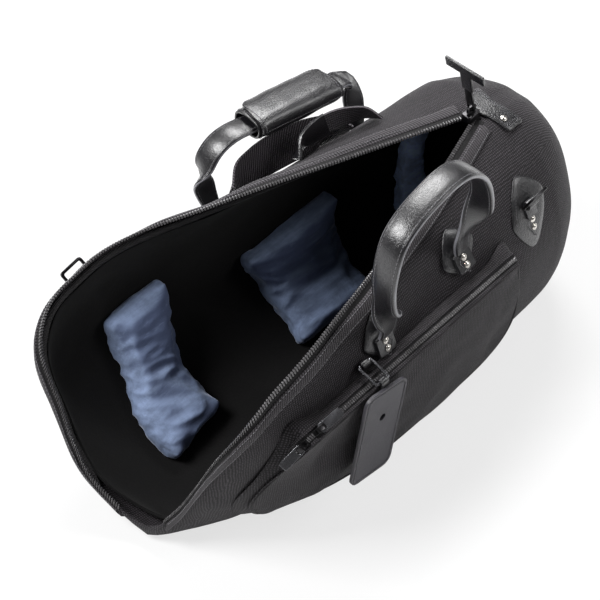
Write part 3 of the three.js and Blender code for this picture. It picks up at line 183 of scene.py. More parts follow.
FRONT_RIM = [
    (-267.9, -48.7, 40, -268.7, -49.3, 36, -268.9, -49.4, 29),
    (-257, -64.3, 72.1, -258.6, -65.4, 63.9, -259, -65.6, 50),
    (-247.6, -79.6, 112.9, -249.3, -80.5, 105.2, -250.5, -81, 92.1),
    (-237.9, -92.4, 150.1, -239.2, -93.8, 142.4, -240.5, -94.9, 129.8),
    (-224.2, -104.6, 180.9, -225.5, -106.2, 172.9, -226.8, -107.8, 160.2),
    (-206.9, -111.1, 202.9, -206.9, -113.5, 194.7, -206.9, -116, 181.8),
    (-183.6, -110.9, 214.6, -183.5, -113.9, 206.4, -183.5, -117.3, 193.5),
    (-156.9, -110.3, 221.9, -156.8, -114, 213.7, -156.8, -118.4, 201),
    (-126.8, -106.9, 226.8, -126.1, -111.2, 218.8, -125.5, -116.7, 206.3),
    (-95, -101, 230, -94.2, -106.1, 222.1, -93.4, -112.7, 209.9),
    (-55.5, -93.4, 232, -54.4, -99.5, 224.7, -53.1, -107.5, 213.2),
    (-10.8, -83.8, 233.9, -9.3, -90.9, 227.4, -7.7, -100.4, 217.1),
    (37.1, -72.3, 237.2, 39, -80.3, 232, 41.3, -91, 223.4),
    (83.2, -60.2, 240.6, 85.5, -68.9, 236.8, 88.1, -80.6, 230.1),
    (124.2, -48.6, 243.1, 126.7, -57.7, 240.6, 129.9, -69.9, 235.5),
    (171, -34.7, 245.7, 173.6, -44, 244.7, 176.9, -56.7, 241.5),
]
BACK_RIM = [
    (-282.9, -0.1, 29, -284, -0.4, 26.9, -283.5, -2.1, 23),
    (-287, 32.9, 49.9, -289.2, 32.2, 45.8, -288.1, 28.9, 38),
    (-282.4, 59.5, 79.8, -285.1, 60.1, 75.6, -286.2, 58.7, 67.8),
    (-274.7, 81, 108, -277.8, 81.6, 103.7, -280, 80.8, 95.9),
    (-269.5, 99.7, 129.4, -272.6, 100.3, 125, -275.2, 99.9, 117.2),
    (-262.9, 113.9, 148.1, -265.3, 115.8, 143.6, -267.3, 117, 135.9),
    (-248.7, 124.6, 167, -250, 127.3, 162.4, -251, 129.7, 154.6),
    (-228.8, 129.9, 182, -228.6, 133, 177.2, -227.9, 136.1, 169.2),
    (-201.7, 129.1, 192.2, -201.4, 132.4, 187.1, -200.5, 136, 178.6),
    (-169.6, 127, 200, -169.2, 130.7, 194.7, -168.3, 134.9, 186),
    (-129.6, 113.5, 207.5, -127.3, 117.9, 202, -124.2, 123.1, 193.3),
    (-80, 88.8, 215, -77.3, 94.8, 209.7, -73.6, 102.3, 201),
    (-15.7, 58.2, 224.2, -12, 65.8, 219.7, -7.2, 75.8, 212.1),
    (50.2, 26, 232.6, 54.5, 35.1, 229.3, 59.9, 47.3, 223.3),
    (106, -0.3, 238.9, 110.5, 9.6, 236.7, 116.3, 23.1, 232.2),
    (169.2, -29.8, 245.3, 174, -19.2, 244.5, 180.1, -4.7, 241.9),
]
POCKET_EDGE = [
    (-160, -107.7, 15, -0.26, 0, -1),
    (-145.1, -114.4, 15, 0, 0, -1),
    (-117.3, -123.3, 15, 0, 0, -1),
    (-83.1, -129.7, 15, 0, 0, -1),
    (-48.9, -132.7, 15, 0, 0, -1),
    (-14.7, -133.8, 15, 0, 0, -1),
    (19.5, -134.1, 15, 0, 0, -1),
    (40.9, -134.1, 15, 0, 0, -1),
    (53.7, -134.1, 15, 0.27, 0, -1),
    (85.4, -140.5, 33.7, 0.65, 0, -0.78),
    (107.2, -145.8, 58.7, 0.88, 0, -0.51),
    (117.2, -148.7, 86.8, 1, 0, -0.17),
    (117.2, -149.8, 114.8, 1, 0, 0.06),
    (115.5, -150, 128.9, 0.99, 0, 0.12),
    (113.8, -150.1, 142.9, 0.99, 0, 0.15),
    (111.2, -150.1, 157, 0.98, 0, 0.2),
    (108.2, -150.1, 171, 0.81, 0, 1.02),
    (91.5, -150.1, 170.6, -0.02, 0, 1),
    (63.6, -150.1, 170, -0.02, 0, 1),
    (19.1, -150.1, 169.1, -0.02, 0, 1),
    (-25.4, -150.1, 168.1, -0.02, 0, 1),
    (-69.9, -150.1, 167.2, -0.02, 0, 1),
    (-114.4, -150.1, 166.2, -0.02, 0, 1),
    (-150.6, -150.1, 165.4, -0.02, 0, 1),
    (-170.1, -150.1, 165, -0.53, 0, 0.99),
    (-179.4, -143.8, 151.5, -0.83, 0, 0.56),
    (-188.4, -137.6, 138, -0.84, 0, 0.54),
    (-196.8, -131.2, 124.5, -0.85, 0, 0.53),
    (-205.1, -125.1, 111, -0.89, 0, 0.46),
    (-216.8, -115.7, 84, -1.05, 0, 0.09),
    (-210.1, -111.2, 57, -0.92, 0, -0.44),
    (-191.8, -109.2, 33, -0.67, 0, -0.77),
]


# Signals and finishes


class Signal:
    """One output of a material's nodes. Sums of signals add the Math nodes they need."""

    def __init__(self, finish, socket):
        self.finish = finish
        self.socket = socket

    def math(self, operation, *others):
        return self.finish.node("ShaderNodeMath", {"operation": operation}, self, *others)

    def __add__(self, other):
        return self.math("ADD", other)

    def __radd__(self, other):
        return self.math("ADD", other)

    def __sub__(self, other):
        return self.math("SUBTRACT", other)

    def __rsub__(self, other):
        return self.finish.node("ShaderNodeMath", {"operation": "SUBTRACT"}, other, self)

    def __mul__(self, other):
        return self.math("MULTIPLY", other)

    def __rmul__(self, other):
        return self.math("MULTIPLY", other)

    def __truediv__(self, other):
        return self.math("DIVIDE", other)

    def wave(self, pitch):
        """Rises and falls once in each pitch, from 0 to 1."""
        return (self * (2 * math.pi / pitch)).math("SINE") * 0.5 + 0.5

    def over(self, low, high):
        """Ramp from 0 at the low value to 1 at the high one."""
        settings = {"interpolation_type": "SMOOTHSTEP"}
        return self.finish.node("ShaderNodeMapRange", settings, self, low, high, 0.0, 1.0)


class Nodes:
    """Adds nodes to one node tree and sets or links their sockets."""

    def __init__(self, tree):
        self.tree = tree

    def node(self, kind, settings, *values, output=0, **named):
        """Adds a node, sets it, then gives its sockets their values or links."""
        node = self.tree.nodes.new(kind)
        for key, value in settings.items():
            setattr(node, key, value)
        sockets = [(node.inputs[i], value) for i, value in enumerate(values)]
        sockets += [(node.inputs[key.replace("_", " ")], value) for key, value in named.items()]
        for socket, value in sockets:
            if isinstance(value, Signal):
                self.tree.links.new(value.socket, socket)
            elif value is not None:
                socket.default_value = value
        return Signal(self, node.outputs[output])

    def shown(self, name):
        """The first output of a node that the tree already holds."""
        return Signal(self, self.tree.nodes[name].outputs[0])

    def surface(self, name, signal):
        """Links a shader to the surface of the tree's output node."""
        self.tree.links.new(signal.socket, self.tree.nodes[name].inputs["Surface"])


class Finish(Nodes):
    """One procedural material, made by adding nodes and setting the shader's sockets."""

    def __init__(self, name, **constants):
        self.material = bpy.data.materials.new(name)
        self.material.use_nodes = True
        super().__init__(self.material.node_tree)
        self.shader = self.tree.nodes["Principled BSDF"]
        for key, value in constants.items():
            self.shader.inputs[key.replace("_", " ")].default_value = value

    def place(self, kind="Object"):
        output = ["Generated", "Normal", "UV", "Object"].index(kind)
        return self.node("ShaderNodeTexCoord", {}, output=output)

    def split(self, vector):
        first = self.node("ShaderNodeSeparateXYZ", {}, vector)
        return [Signal(self, output) for output in first.socket.node.outputs]

    def stretched(self, vector, scale):
        return self.node("ShaderNodeVectorMath", {"operation": "MULTIPLY"}, vector, scale)

    def noise(self, vector, scale, detail=3.0, roughness=0.55):
        values = {"Vector": vector, "Scale": scale, "Detail": detail, "Roughness": roughness}
        return self.node("ShaderNodeTexNoise", {}, **values)

    def cells(self, vector, scale):
        return self.node("ShaderNodeTexVoronoi", {}, Vector=vector, Scale=scale)

    def blend(self, mask, low, high):
        """Mixes two colours. The unused sockets of the node lie between its factor and its colours."""
        between = [None] * 5
        return self.node("ShaderNodeMix", {"data_type": "RGBA"}, mask, *between, low, high, output=2)

    def bump(self, height, distance, strength=1.0, below=None):
        values = {"Height": height, "Distance": distance, "Strength": strength, "Normal": below}
        return self.node("ShaderNodeBump", {}, **values)

    def feed(self, **signals):
        for key, signal in signals.items():
            self.tree.links.new(signal.socket, self.shader.inputs[key.replace("_", " ")])
        return self.material


def tone(red, green, blue):
    """Colour with full alpha."""
    return (red, green, blue, 1.0)


def mixed(color, share):
    """Colour made lighter or darker by a share."""
    return tone(*(channel * share for channel in color[:3]))


def woven(name, color, pitch, depth, rough=0.8, lift=5.0, patch=0.72, sheen=0.08):
    """Plain woven nylon: a grid of threads with slubs and cloudy wear; the thread crowns and slubs get a
    painted highlight and the gaps between threads a painted shade.
    """
    finish = Finish(name, Sheen_Weight=sheen, Sheen_Roughness=0.45, Specular_IOR_Level=0.35)
    u, v, _ = finish.split(finish.place("UV"))
    place = finish.place()
    sway = finish.noise(place, 55.0, 2.0) * (pitch * 1.6)
    warp = (u + sway).wave(pitch)
    weft = (v + sway).wave(pitch)
    threads = warp * weft
    slub = finish.noise(place, 520.0, 3.0, 0.75)
    height = threads * 0.7 + slub * 0.6
    cloud = finish.noise(place, 20.0, 4.0, 0.6).over(0.32, 0.72)
    # Painted highlight on the thread crowns and slubs, painted shade in the gaps between threads.
    thread_crown_highlight = (threads * 0.55 + slub * 0.75).over(0.34, 0.98)
    body = finish.blend(thread_crown_highlight, mixed(color, 1.0 - patch), mixed(color, lift))
    body = finish.blend(cloud * 0.4, body, mixed(color, 0.55))
    normal = finish.bump(height, depth, 1.0)
    return finish.feed(Base_Color=body, Roughness=rough - thread_crown_highlight * 0.25, Normal=normal)


def ribbed(name, color, pitch, depth, lift=2.2, rough=0.7, crosswise=False):
    """Heavy webbing or tape: straight ribs along or across it with a fine weave between them; the rib crowns
    get a painted highlight and the valleys a painted shade.
    """
    finish = Finish(name, Sheen_Weight=0.1, Sheen_Roughness=0.5)
    u, v, _ = finish.split(finish.place("UV"))
    place = finish.place()
    ribs = (u + v * 0.35 if crosswise else v).wave(pitch)
    cross = (v if crosswise else u).wave(pitch * 0.75)
    height = ribs * 0.8 + cross * ribs * 0.35 + finish.noise(place, 1100.0, 2.0) * 0.25
    # Painted highlight on the rib crowns, painted shade in the valleys.
    body = finish.blend(height.over(0.25, 1.15), mixed(color, 0.35), mixed(color, lift))
    normal = finish.bump(height, depth, 1.0)
    return finish.feed(Base_Color=body, Roughness=rough - ribs * 0.15, Normal=normal)


def leather(name, color, grain, depth, rough=0.34, coat=0.55, worn=1.8):
    """Grained leather: cells with creases between them, broad gloss changes and paler worn places."""
    finish = Finish(name, Coat_Weight=coat, Coat_Roughness=0.26, Specular_IOR_Level=0.6)
    place = finish.place()
    sway = finish.stretched(finish.noise(place, 180.0, 2.0), (0.002, 0.002, 0.002))
    bent = finish.node("ShaderNodeVectorMath", {"operation": "ADD"}, place, sway)
    cells = finish.cells(bent, grain)
    crease = cells.over(0.15, 0.75)
    fine = finish.noise(place, grain * 3.0, 3.0)
    broad = finish.noise(place, 38.0, 3.0)
    height = crease * -0.7 + fine * 0.4
    body = finish.blend(broad.over(0.42, 0.75), color, mixed(color, worn))
    # Painted shade: the creases between the grain cells are darkened.
    body = finish.blend(crease * 0.45, body, mixed(color, 0.45))
    normal = finish.bump(broad, depth * 6.0, 0.25, finish.bump(height, depth, 0.8))
    return finish.feed(Base_Color=body, Roughness=broad * 0.22 + fine * 0.1 + (rough - 0.14), Normal=normal)


def plush(name, color):
    """Deep soft lining that swallows the light."""
    finish = Finish(name, Roughness=1.0, Sheen_Weight=0.05, Sheen_Roughness=0.7, Specular_IOR_Level=0.15)
    place = finish.place()
    nap = finish.noise(place, 420.0, 3.0, 0.7)
    brushed = finish.noise(place, 18.0, 4.0, 0.6)
    body = finish.blend(brushed.over(0.35, 0.72), mixed(color, 0.55), mixed(color, 1.5))
    body = finish.blend(nap.over(0.3, 0.8), mixed(color, 0.5), body)
    return finish.feed(Base_Color=body, Normal=finish.bump(nap, 0.0006, 0.7))


def velour(name, color, front_shade_share=0.8):
    """Crushed velour, with painted shade: faces that look to the front and downward are darkened towards
    navy.
    """
    constants = {"Sheen_Weight": 0.5, "Sheen_Roughness": 0.3, "Specular_IOR_Level": 0.2}
    finish = Finish(name, Sheen_Tint=tone(0.8, 0.86, 1.0), **constants)
    place = finish.place()
    crushed = finish.noise(finish.stretched(place, (1.0, 0.55, 1.3)), 30.0, 5.0, 0.65)
    streaks = finish.noise(finish.stretched(place, (0.5, 3.2, 2.4)), 52.0, 5.0, 0.7)
    nap = finish.noise(place, 1500.0, 2.0, 0.6)
    brushed = crushed * 0.6 + streaks * 0.4
    side, front, top = finish.split(finish.place("Normal"))
    # Painted shade mask: highest on faces that look to the front and downward, blended below towards dark
    # navy.
    front_shade_mask = (front * -1.0 - top * 0.55 + side * 0.3 + crushed * 0.5).over(0.15, 0.95)
    body = finish.blend(brushed.over(0.36, 0.62), mixed(color, 0.85), mixed(color, 1.6))
    body = finish.blend(front_shade_mask * front_shade_share, body, tone(color[0] * 0.36, color[1] * 0.36, color[2] * 0.5))
    body = finish.blend(streaks.over(0.56, 0.72) * 0.4, body, mixed(color, 1.7))
    body = finish.blend(nap * 0.3, body, mixed(color, 0.7))
    normal = finish.bump(crushed, 0.004, 0.6, finish.bump(nap, 0.0002, 0.6))
    return finish.feed(Base_Color=body, Roughness=brushed * 0.25 + 0.72, Normal=normal)


def metal(name, color, rough, coat=0.0):
    """Plated metal with handling marks and a slightly uneven polish."""
    finish = Finish(name, Metallic=1.0, Coat_Weight=coat, Coat_Roughness=0.2)
    place = finish.place()
    marks = finish.noise(finish.stretched(place, (1.0, 1.0, 4.0)), 260.0, 4.0, 0.65)
    cloud = finish.noise(place, 90.0, 3.0)
    body = finish.blend(marks.over(0.45, 0.8), color, mixed(color, 0.65))
    polish = marks * 0.2 + cloud * 0.12 + (rough - 0.14)
    return finish.feed(Base_Color=body, Roughness=polish, Normal=finish.bump(marks, 0.0002, 0.3))


def moulded(name, color, rough):
    """Moulded nylon of the zip's teeth: glossy, with lighter and rougher specks that are partly dust and
    partly painted glints.
    """
    finish = Finish(name, Specular_IOR_Level=0.7, Coat_Weight=0.4, Coat_Roughness=0.15)
    place = finish.place()
    dust_and_glint = finish.noise(place, 500.0, 3.0)
    # Lighter specks: partly dust, partly painted glints.
    body = finish.blend(dust_and_glint.over(0.45, 0.75), color, mixed(color, 2.2))
    gloss = dust_and_glint * 0.3 + (rough - 0.15)
    return finish.feed(Base_Color=body, Roughness=gloss, Normal=finish.bump(dust_and_glint, 0.0002, 0.4))


def spun(name, color):
    """Sewing thread: a twist along each stitch."""
    finish = Finish(name, Roughness=0.7, Sheen_Weight=0.15)
    place = finish.place()
    twist = finish.noise(place, 2200.0, 2.0)
    body = finish.blend(twist, mixed(color, 0.6), mixed(color, 1.4))
    return finish.feed(Base_Color=body, Normal=finish.bump(twist, 0.0002, 0.6))


FINISHES = {}


def look(word):
    """Each finish is made once, when the first piece asks for it."""
    colors = bpy.context.scene.gig_bag_colors
    cloth, hide, pile = tone(*colors.nylon), tone(*colors.leather), tone(*colors.velour)
    band = mixed(cloth, 0.9)
    rib = (3.0 * MM, 0.0012, 8.0, 0.5)
    makers = {
        "nylon": lambda: woven("nylon_cloth", cloth, 2.2 * MM, 0.0005),
        # Pocket cloth: the same nylon 0.8 times darker, as painted shade.
        "pocket": lambda: woven("painted_shade_pocket_cloth", mixed(cloth, 0.8), 2.2 * MM, 0.0005),
        "tape": lambda: woven("zip_tape_weave", mixed(cloth, 0.45), 1.1 * MM, 0.0002, lift=1.5),
        "welt": lambda: ribbed("welt_weave", mixed(cloth, 1.5), 2.8 * MM, 0.0006, 2.6, 0.75, True),
        "binding": lambda: ribbed("inner_binding", mixed(cloth, 0.5), 1.8 * MM, 0.0003),
        "piping": lambda: woven("seam_piping", mixed(cloth, 0.5), 1.2 * MM, 0.0002),
        "lining": lambda: plush("plush_lining", tone(*colors.lining)),
        "leather": lambda: leather("black_leather", hide, 560.0, 0.0004),
        "strap": lambda: leather("strap_leather", mixed(hide, 1.1), 760.0, 0.00022, 0.3, 0.5),
        "tag": lambda: leather("tag_leather", mixed(hide, 4.5), 900.0, 0.00015, 0.5, 0.1, 1.3),
        "webbing": lambda: ribbed("ribbed_webbing", band, *rib),
        "cross_webbing": lambda: ribbed("cross_webbing", band, *rib, True),
        "coil": lambda: moulded("zip_teeth", tone(0.07, 0.067, 0.07), 0.24),
        "gunmetal": lambda: metal("gunmetal_plate", tone(0.2, 0.2, 0.215), 0.26, 0.3),
        "black_metal": lambda: metal("black_plate", tone(0.025, 0.024, 0.026), 0.32, 0.35),
        "nickel": lambda: metal("nickel_plate", tone(0.72, 0.69, 0.64), 0.24, 0.1),
        "velour": lambda: velour("dusty_velour", pile),
        # Bell block's velour: painted light, 2.4 times brighter and with no painted front shade.
        "painted_light_velour": lambda: velour("painted_light_velour", mixed(pile, 2.4), 0.0),
        # Pale thread tone: painted highlight on stitches that are near black.
        "thread": lambda: spun("seam_thread", tone(0.22, 0.215, 0.23)),
        # Pale tone of the piping along the strap edges: a painted highlight.
        "edge": lambda: leather("painted_edge_highlight", tone(0.2, 0.2, 0.22), 900.0, 0.0001, 0.35, 0.4),
    }
    if word not in FINISHES:
        FINISHES[word] = makers[word]()
    return FINISHES[word]


# Meshes


def solo(piece):
    """Makes one object the only one selected."""
    bpy.ops.object.select_all(action="DESELECT")
    piece.select_set(True)
    bpy.context.view_layer.objects.active = piece


def edited(piece, *steps):
    """Runs edit-mode steps on a whole object."""
    solo(piece)
    bpy.ops.object.mode_set(mode="EDIT")
    bpy.ops.mesh.select_all(action="SELECT")
    for step in steps:
        step()
    bpy.ops.object.mode_set(mode="OBJECT")
    return piece


def applied(piece, kind, **settings):
    """Adds one modifier and applies it."""
    solo(piece)
    modifier = piece.modifiers.new(kind.lower(), kind)
    for key, value in settings.items():
        setattr(modifier, key, value)
    bpy.ops.object.modifier_apply(modifier=modifier.name)
    return piece


def meshed(name, points, faces, uvs=None):
    """Object from points and faces, with a UV for each point where one is given."""
    data = bpy.data.meshes.new(name)
    data.from_pydata([tuple(point) for point in points], [], faces)
    if uvs is not None:
        layer = data.uv_layers.new(name="UVMap")
        for loop in data.loops:
            layer.data[loop.index].uv = uvs[loop.vertex_index]
    data.update()
    piece = bpy.data.objects.new(name, data)
    bpy.context.collection.objects.link(piece)
    return piece


def copied(node, name, quads=True):
    """Welded copy of a CAD node's mesh."""
    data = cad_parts[node].data.copy()
    data.materials.clear()
    piece = bpy.data.objects.new(name, data)
    bpy.context.collection.objects.link(piece)
    steps = [lambda: bpy.ops.mesh.remove_doubles(threshold=2e-5)]
    if quads:
        limit = math.radians(70)
        steps.append(lambda: bpy.ops.mesh.tris_convert_to_quads(face_threshold=limit, shape_threshold=limit))
    return edited(piece, *steps)


def points_of(piece):
    """Places of a mesh's vertices, one row each."""
    flat = np.empty(len(piece.data.vertices) * 3)
    piece.data.vertices.foreach_get("co", flat)
    return flat.reshape(-1, 3)


def set_points(piece, points):
    """Moves a mesh's vertices to the given rows."""
    piece.data.vertices.foreach_set("co", np.asarray(points, float).ravel())
    piece.data.update()


def softened(node, name, levels=2, rounds=3):
    """Copy of a node as a smooth surface that still passes through the node's own corners."""
    piece = copied(node, name)
    wanted = points_of(piece)
    count = len(wanted)
    control = wanted.copy()
    for _ in range(rounds):
        trial = bpy.data.objects.new("trial", piece.data.copy())
        bpy.context.collection.objects.link(trial)
        set_points(trial, control)
        applied(trial, "SUBSURF", levels=1, render_levels=1)
        control += wanted - points_of(trial)[:count]
        bpy.data.objects.remove(trial)
    set_points(piece, control)
    return applied(piece, "SUBSURF", levels=levels, render_levels=levels)


def bevelled(piece, width, segments, angle, **more):
    """Rounds the edges that are sharper than an angle in degrees."""
    limit = math.radians(angle)
    return applied(
        piece, "BEVEL", width=width, segments=segments, limit_method="ANGLE", angle_limit=limit, **more
    )


def machined(node, name, width, segments, angle=30.0):
    """Copy of a hard node with its faces merged and its edges rounded."""
    piece = copied(node, name, False)
    edited(piece, lambda: bpy.ops.mesh.dissolve_limited(angle_limit=math.radians(4)))
    return bevelled(piece, width, segments, angle, use_clamp_overlap=True)


def turned_out(piece):
    """Makes a mesh's normals agree and point outward."""
    return edited(piece, lambda: bpy.ops.mesh.normals_make_consistent(inside=False))


def lattice(rows, columns, closed_rows=False, closed_columns=True):
    """Faces of a grid of points that may close on itself either way."""
    faces = []
    for i in range(rows if closed_rows else rows - 1):
        for j in range(columns if closed_columns else columns - 1):
            k = (j + 1) % columns
            ahead = (i + 1) % rows * columns
            faces.append((i * columns + j, i * columns + k, ahead + k, ahead + j))
    return faces


def caps(rows, columns):
    """The two end faces of a tube."""
    last = (rows - 1) * columns
    return [tuple(reversed(range(columns))), tuple(last + j for j in range(columns))]


def boxed_uv(piece):
    """UV map in metres, each face laid flat along its widest side."""
    data = piece.data
    layer = data.uv_layers.new(name="UVMap") if not data.uv_layers else data.uv_layers[0]
    for face in data.polygons:
        normal = [abs(part) for part in face.normal]
        drop = normal.index(max(normal))
        keep = [k for k in range(3) if k != drop]
        for index in face.loop_indices:
            place = data.vertices[data.loops[index].vertex_index].co
            layer.data[index].uv = (place[keep[0]], place[keep[1]])


def dressed(piece, word, body, stands_for=(), angle=40.0, uv=True):
    """Gives a finished piece its shading, finish, body and material slot, and hides the nodes it stands for.
    """
    solo(piece)
    bpy.ops.object.shade_smooth_by_angle(angle=math.radians(angle))
    if uv and not piece.data.uv_layers:
        boxed_uv(piece)
    piece.data.materials.clear()
    piece.data.materials.append(look(word))
    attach(piece, body)
    if stands_for:
        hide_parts(*stands_for)
    return piece


def joined(name, template, places):
    """One mesh that holds a copy of a small template at each place."""
    base = points_of(template)
    faces = [tuple(face.vertices) for face in template.data.polygons]
    count = len(base)
    points = []
    polygons = []
    for index, place in enumerate(places):
        turn = np.array(place.to_3x3())
        points.append(base @ turn.T + np.array(place.translation))
        polygons += [tuple(v + index * count for v in face) for face in faces]
    return meshed(name, np.concatenate(points), polygons)


# Curves


def drawn(rows, spacing, closed=False):
    """Rows at even distances along a smooth curve. The first three numbers of a row are its place."""
    rows = [np.array(row, float) for row in rows]
    count = len(rows)
    dense = []
    spans = count if closed else count - 1
    for i in range(spans):
        four = []
        for k in (i - 1, i, i + 1, i + 2):
            four.append(rows[k % count] if closed else rows[min(max(k, 0), count - 1)])
        for step in range(CURVE_PARTS):
            t = step / CURVE_PARTS
            dense.append(
                0.5
                * (
                    2 * four[1]
                    + (four[2] - four[0]) * t
                    + (2 * four[0] - 5 * four[1] + 4 * four[2] - four[3]) * t**2
                    + (3 * four[1] - four[0] - 3 * four[2] + four[3]) * t**3
                )
            )
    dense.append(rows[0] if closed else rows[-1])
    dense = np.array(dense)
    steps = np.linalg.norm(np.diff(dense[:, :3], axis=0), axis=1)
    reach = np.concatenate([[0.0], np.cumsum(steps)])
    total = max(2, round(reach[-1] / spacing))
    marks = np.linspace(0.0, reach[-1], total + 1)
    if closed:
        marks = marks[:-1]
    even = np.stack([np.interp(marks, reach, dense[:, k]) for k in range(dense.shape[1])], 1)
    return even, marks


def tangents(points, closed=False):
    """Direction of a line at each of its points."""
    if closed:
        ahead = np.roll(points, -1, 0) - np.roll(points, 1, 0)
    else:
        ahead = np.gradient(points, axis=0)
    return ahead / np.linalg.norm(ahead, axis=1)[:, None]


def strap_frames(rows, sign=1.0):
    """Places, directions across and outward normals of a strap."""
    table = np.array(rows, float)
    table[:, :3] *= MM
    even, marks = drawn(table, STRAP_STEP)
    places = even[:, :3]
    along = tangents(places)
    across = even[:, 3:6]
    across = across - along * np.sum(across * along, axis=1)[:, None]
    across /= np.linalg.norm(across, axis=1)[:, None]
    out = np.cross(across, along) * sign
    return places, along, across, out, marks


def swept(name, places, across, out, marks, profile, closed=False):
    """Skin of a profile carried along a line. Profile points are (across, out) in millimetres."""
    profile = np.array(profile, float) * MM
    sides, count = len(profile), len(places)
    points = places[:, None, :] + across[:, None, :] * profile[None, :, 0, None]
    points = points + out[:, None, :] * profile[None, :, 1, None]
    around = np.concatenate([[0.0], np.cumsum(np.linalg.norm(np.diff(profile, axis=0), axis=1))])
    uvs = [(mark, reach) for mark in marks for reach in around]
    faces = lattice(count, sides, closed)
    if not closed:
        faces += caps(count, sides)
    return turned_out(meshed(name, points.reshape(-1, 3), faces, uvs))


def placed_at(origin, along, across, out):
    """Place for a copy: local X runs along, Y across and Z out."""
    turn = Matrix([[along[k], across[k], out[k]] for k in range(3)]).to_4x4()
    turn.translation = Vector(origin)
    return turn


def stitch_shape(length):
    """One stitch: a short rod with rounded ends."""
    bpy.ops.object.select_all(action="DESELECT")
    bpy.ops.mesh.primitive_cylinder_add(
        vertices=6, radius=STITCH_RADIUS, depth=length * MM, end_fill_type="TRIFAN"
    )
    stitch = bpy.context.object
    stitch.data.transform(Matrix.Rotation(math.pi / 2, 4, "Y"))
    edited(stitch, lambda: bpy.ops.mesh.bevel(offset=0.22 * MM, segments=1, affect="EDGES"))
    return stitch


def seam(name, points, normals, body, pitch, closed=True):
    """Row of stitches along a line that lies on a surface."""
    rows = np.concatenate([points, normals], 1)
    even, _ = drawn(rows, pitch * MM, closed)
    ahead = tangents(even[:, :3], closed)
    stitch = stitch_shape(pitch * STITCH_LENGTH_SHARE)
    places = []
    for place, tangent, normal in zip(even[:, :3], ahead, even[:, 3:6]):
        normal = normal - tangent * np.dot(normal, tangent)
        normal /= np.linalg.norm(normal)
        places.append(placed_at(place + normal * 0.1 * MM, tangent, np.cross(normal, tangent), normal))
    line = joined(name, stitch, places)
    bpy.data.objects.remove(stitch)
    return dressed(line, "thread", body, uv=False)


def outline(piece, toward):
    """Places round the edge of the faces that look one way, in order, with the normals there."""
    toward = Vector(toward).normalized()
    data = piece.data
    used = {}
    for face in data.polygons:
        if face.normal.dot(toward) > EDGE_FACING:
            for key in face.edge_keys:
                used.setdefault(key, []).append(face.index)
    border = [key for key, faces in used.items() if len(faces) == 1]
    links = {}
    for a, b in border:
        links.setdefault(a, []).append(b)
        links.setdefault(b, []).append(a)
    loops = []
    left = set(links)
    while left:
        start = min(left)
        loop = [start]
        left.discard(start)
        while True:
            ahead = [v for v in links[loop[-1]] if v in left]
            if not ahead:
                break
            loop.append(ahead[0])
            left.discard(ahead[0])
        loops.append(loop)
    loop = max(loops, key=len)
    normals = {}
    for key, faces in used.items():
        for v in key:
            for f in faces:
                normals.setdefault(v, Vector()).__iadd__(data.polygons[f].normal)
    places = np.array([data.vertices[v].co for v in loop])
    facing = np.array([normals[v].normalized() for v in loop])
    return places, facing


def filled(rows, gap):
    """Closed line with extra rows on its long straight parts."""
    out = []
    for i, row in enumerate(rows):
        ahead = rows[(i + 1) % len(rows)]
        parts = max(1, math.ceil(np.linalg.norm(ahead[:3] - row[:3]) / gap))
        out += [row + (ahead - row) * k / parts for k in range(parts)]
    return np.array(out)


def inset_line(places, normals, distance, lift):
    """Moves a closed line inward along the surface that it lies on."""
    rows = filled(np.concatenate([places, normals], 1), 3.0 * MM)
    even, _ = drawn(rows, 2.5 * MM, True)
    points, facing = even[:, :3], even[:, 3:6]
    facing = facing / np.linalg.norm(facing, axis=1)[:, None]
    ahead = tangents(points, True)
    inward = np.cross(facing, ahead)
    middle = points.mean(0)
    if np.sum(inward * (middle - points)) < 0:
        inward = -inward
    return points + inward * distance * MM + facing * lift * MM, facing


def bordered(piece, toward, name, body, insets, lift):
    """Stitches round a flat piece at each distance from its edge."""
    places, normals = outline(piece, toward)
    for index, distance in enumerate(insets):
        line, facing = inset_line(places, normals, distance, lift)
        seam(f"{name}_{index + 1}", line, facing, body, BORDER_PITCH)


def folded_cloth(piece, amount, coarse, fine, seed, folds=()):
    """Soft unevenness of cloth: slow waves, finer puckers and folds that both faces follow."""
    points = points_of(piece)
    shift = Vector((seed, seed * 1.7, seed * 0.3))
    for i, point in enumerate(points):
        place = Vector(point)
        out = place - Vector((max(min(place.x, 0.16), -0.2), -0.01, 0.115))
        out.normalize()
        low = noise.noise(place / coarse + shift)
        high = noise.noise(place / fine + shift * 2)
        move = amount * (low * 0.75 + high * abs(low) * 0.6)
        for center, reach, along, width, depth in folds:
            gap = place - Vector(center)
            run = gap.dot(Vector(along))
            side = (gap - Vector(along) * run).length
            if abs(run) < reach:
                fade = math.cos(run / reach * math.pi / 2) ** 2
                move += depth * fade * math.exp(-((side / width) ** 2))
        points[i] = point + np.array(out) * move
    set_points(piece, points)


# Pieces


SKIN = {}


def skin():
    """Search tree of the finished outer cloth, so that trim can be laid on it."""
    if "tree" not in SKIN:
        piece = bpy.data.objects["shell_cloth"]
        vertices = [vertex.co.copy() for vertex in piece.data.vertices]
        polygons = [tuple(face.vertices) for face in piece.data.polygons]
        SKIN["tree"] = BVHTree.FromPolygons(vertices, polygons)
    return SKIN["tree"]


def laid(place, lift, guide):
    """Nearest place on the outer cloth, raised by a distance in millimetres."""
    guide = Vector(guide)
    spot, normal, _, _ = skin().find_nearest(Vector(place) + guide * LAYING_REACH)
    if normal.dot(guide) < 0:
        normal = -normal
    return spot + normal * lift * MM, normal


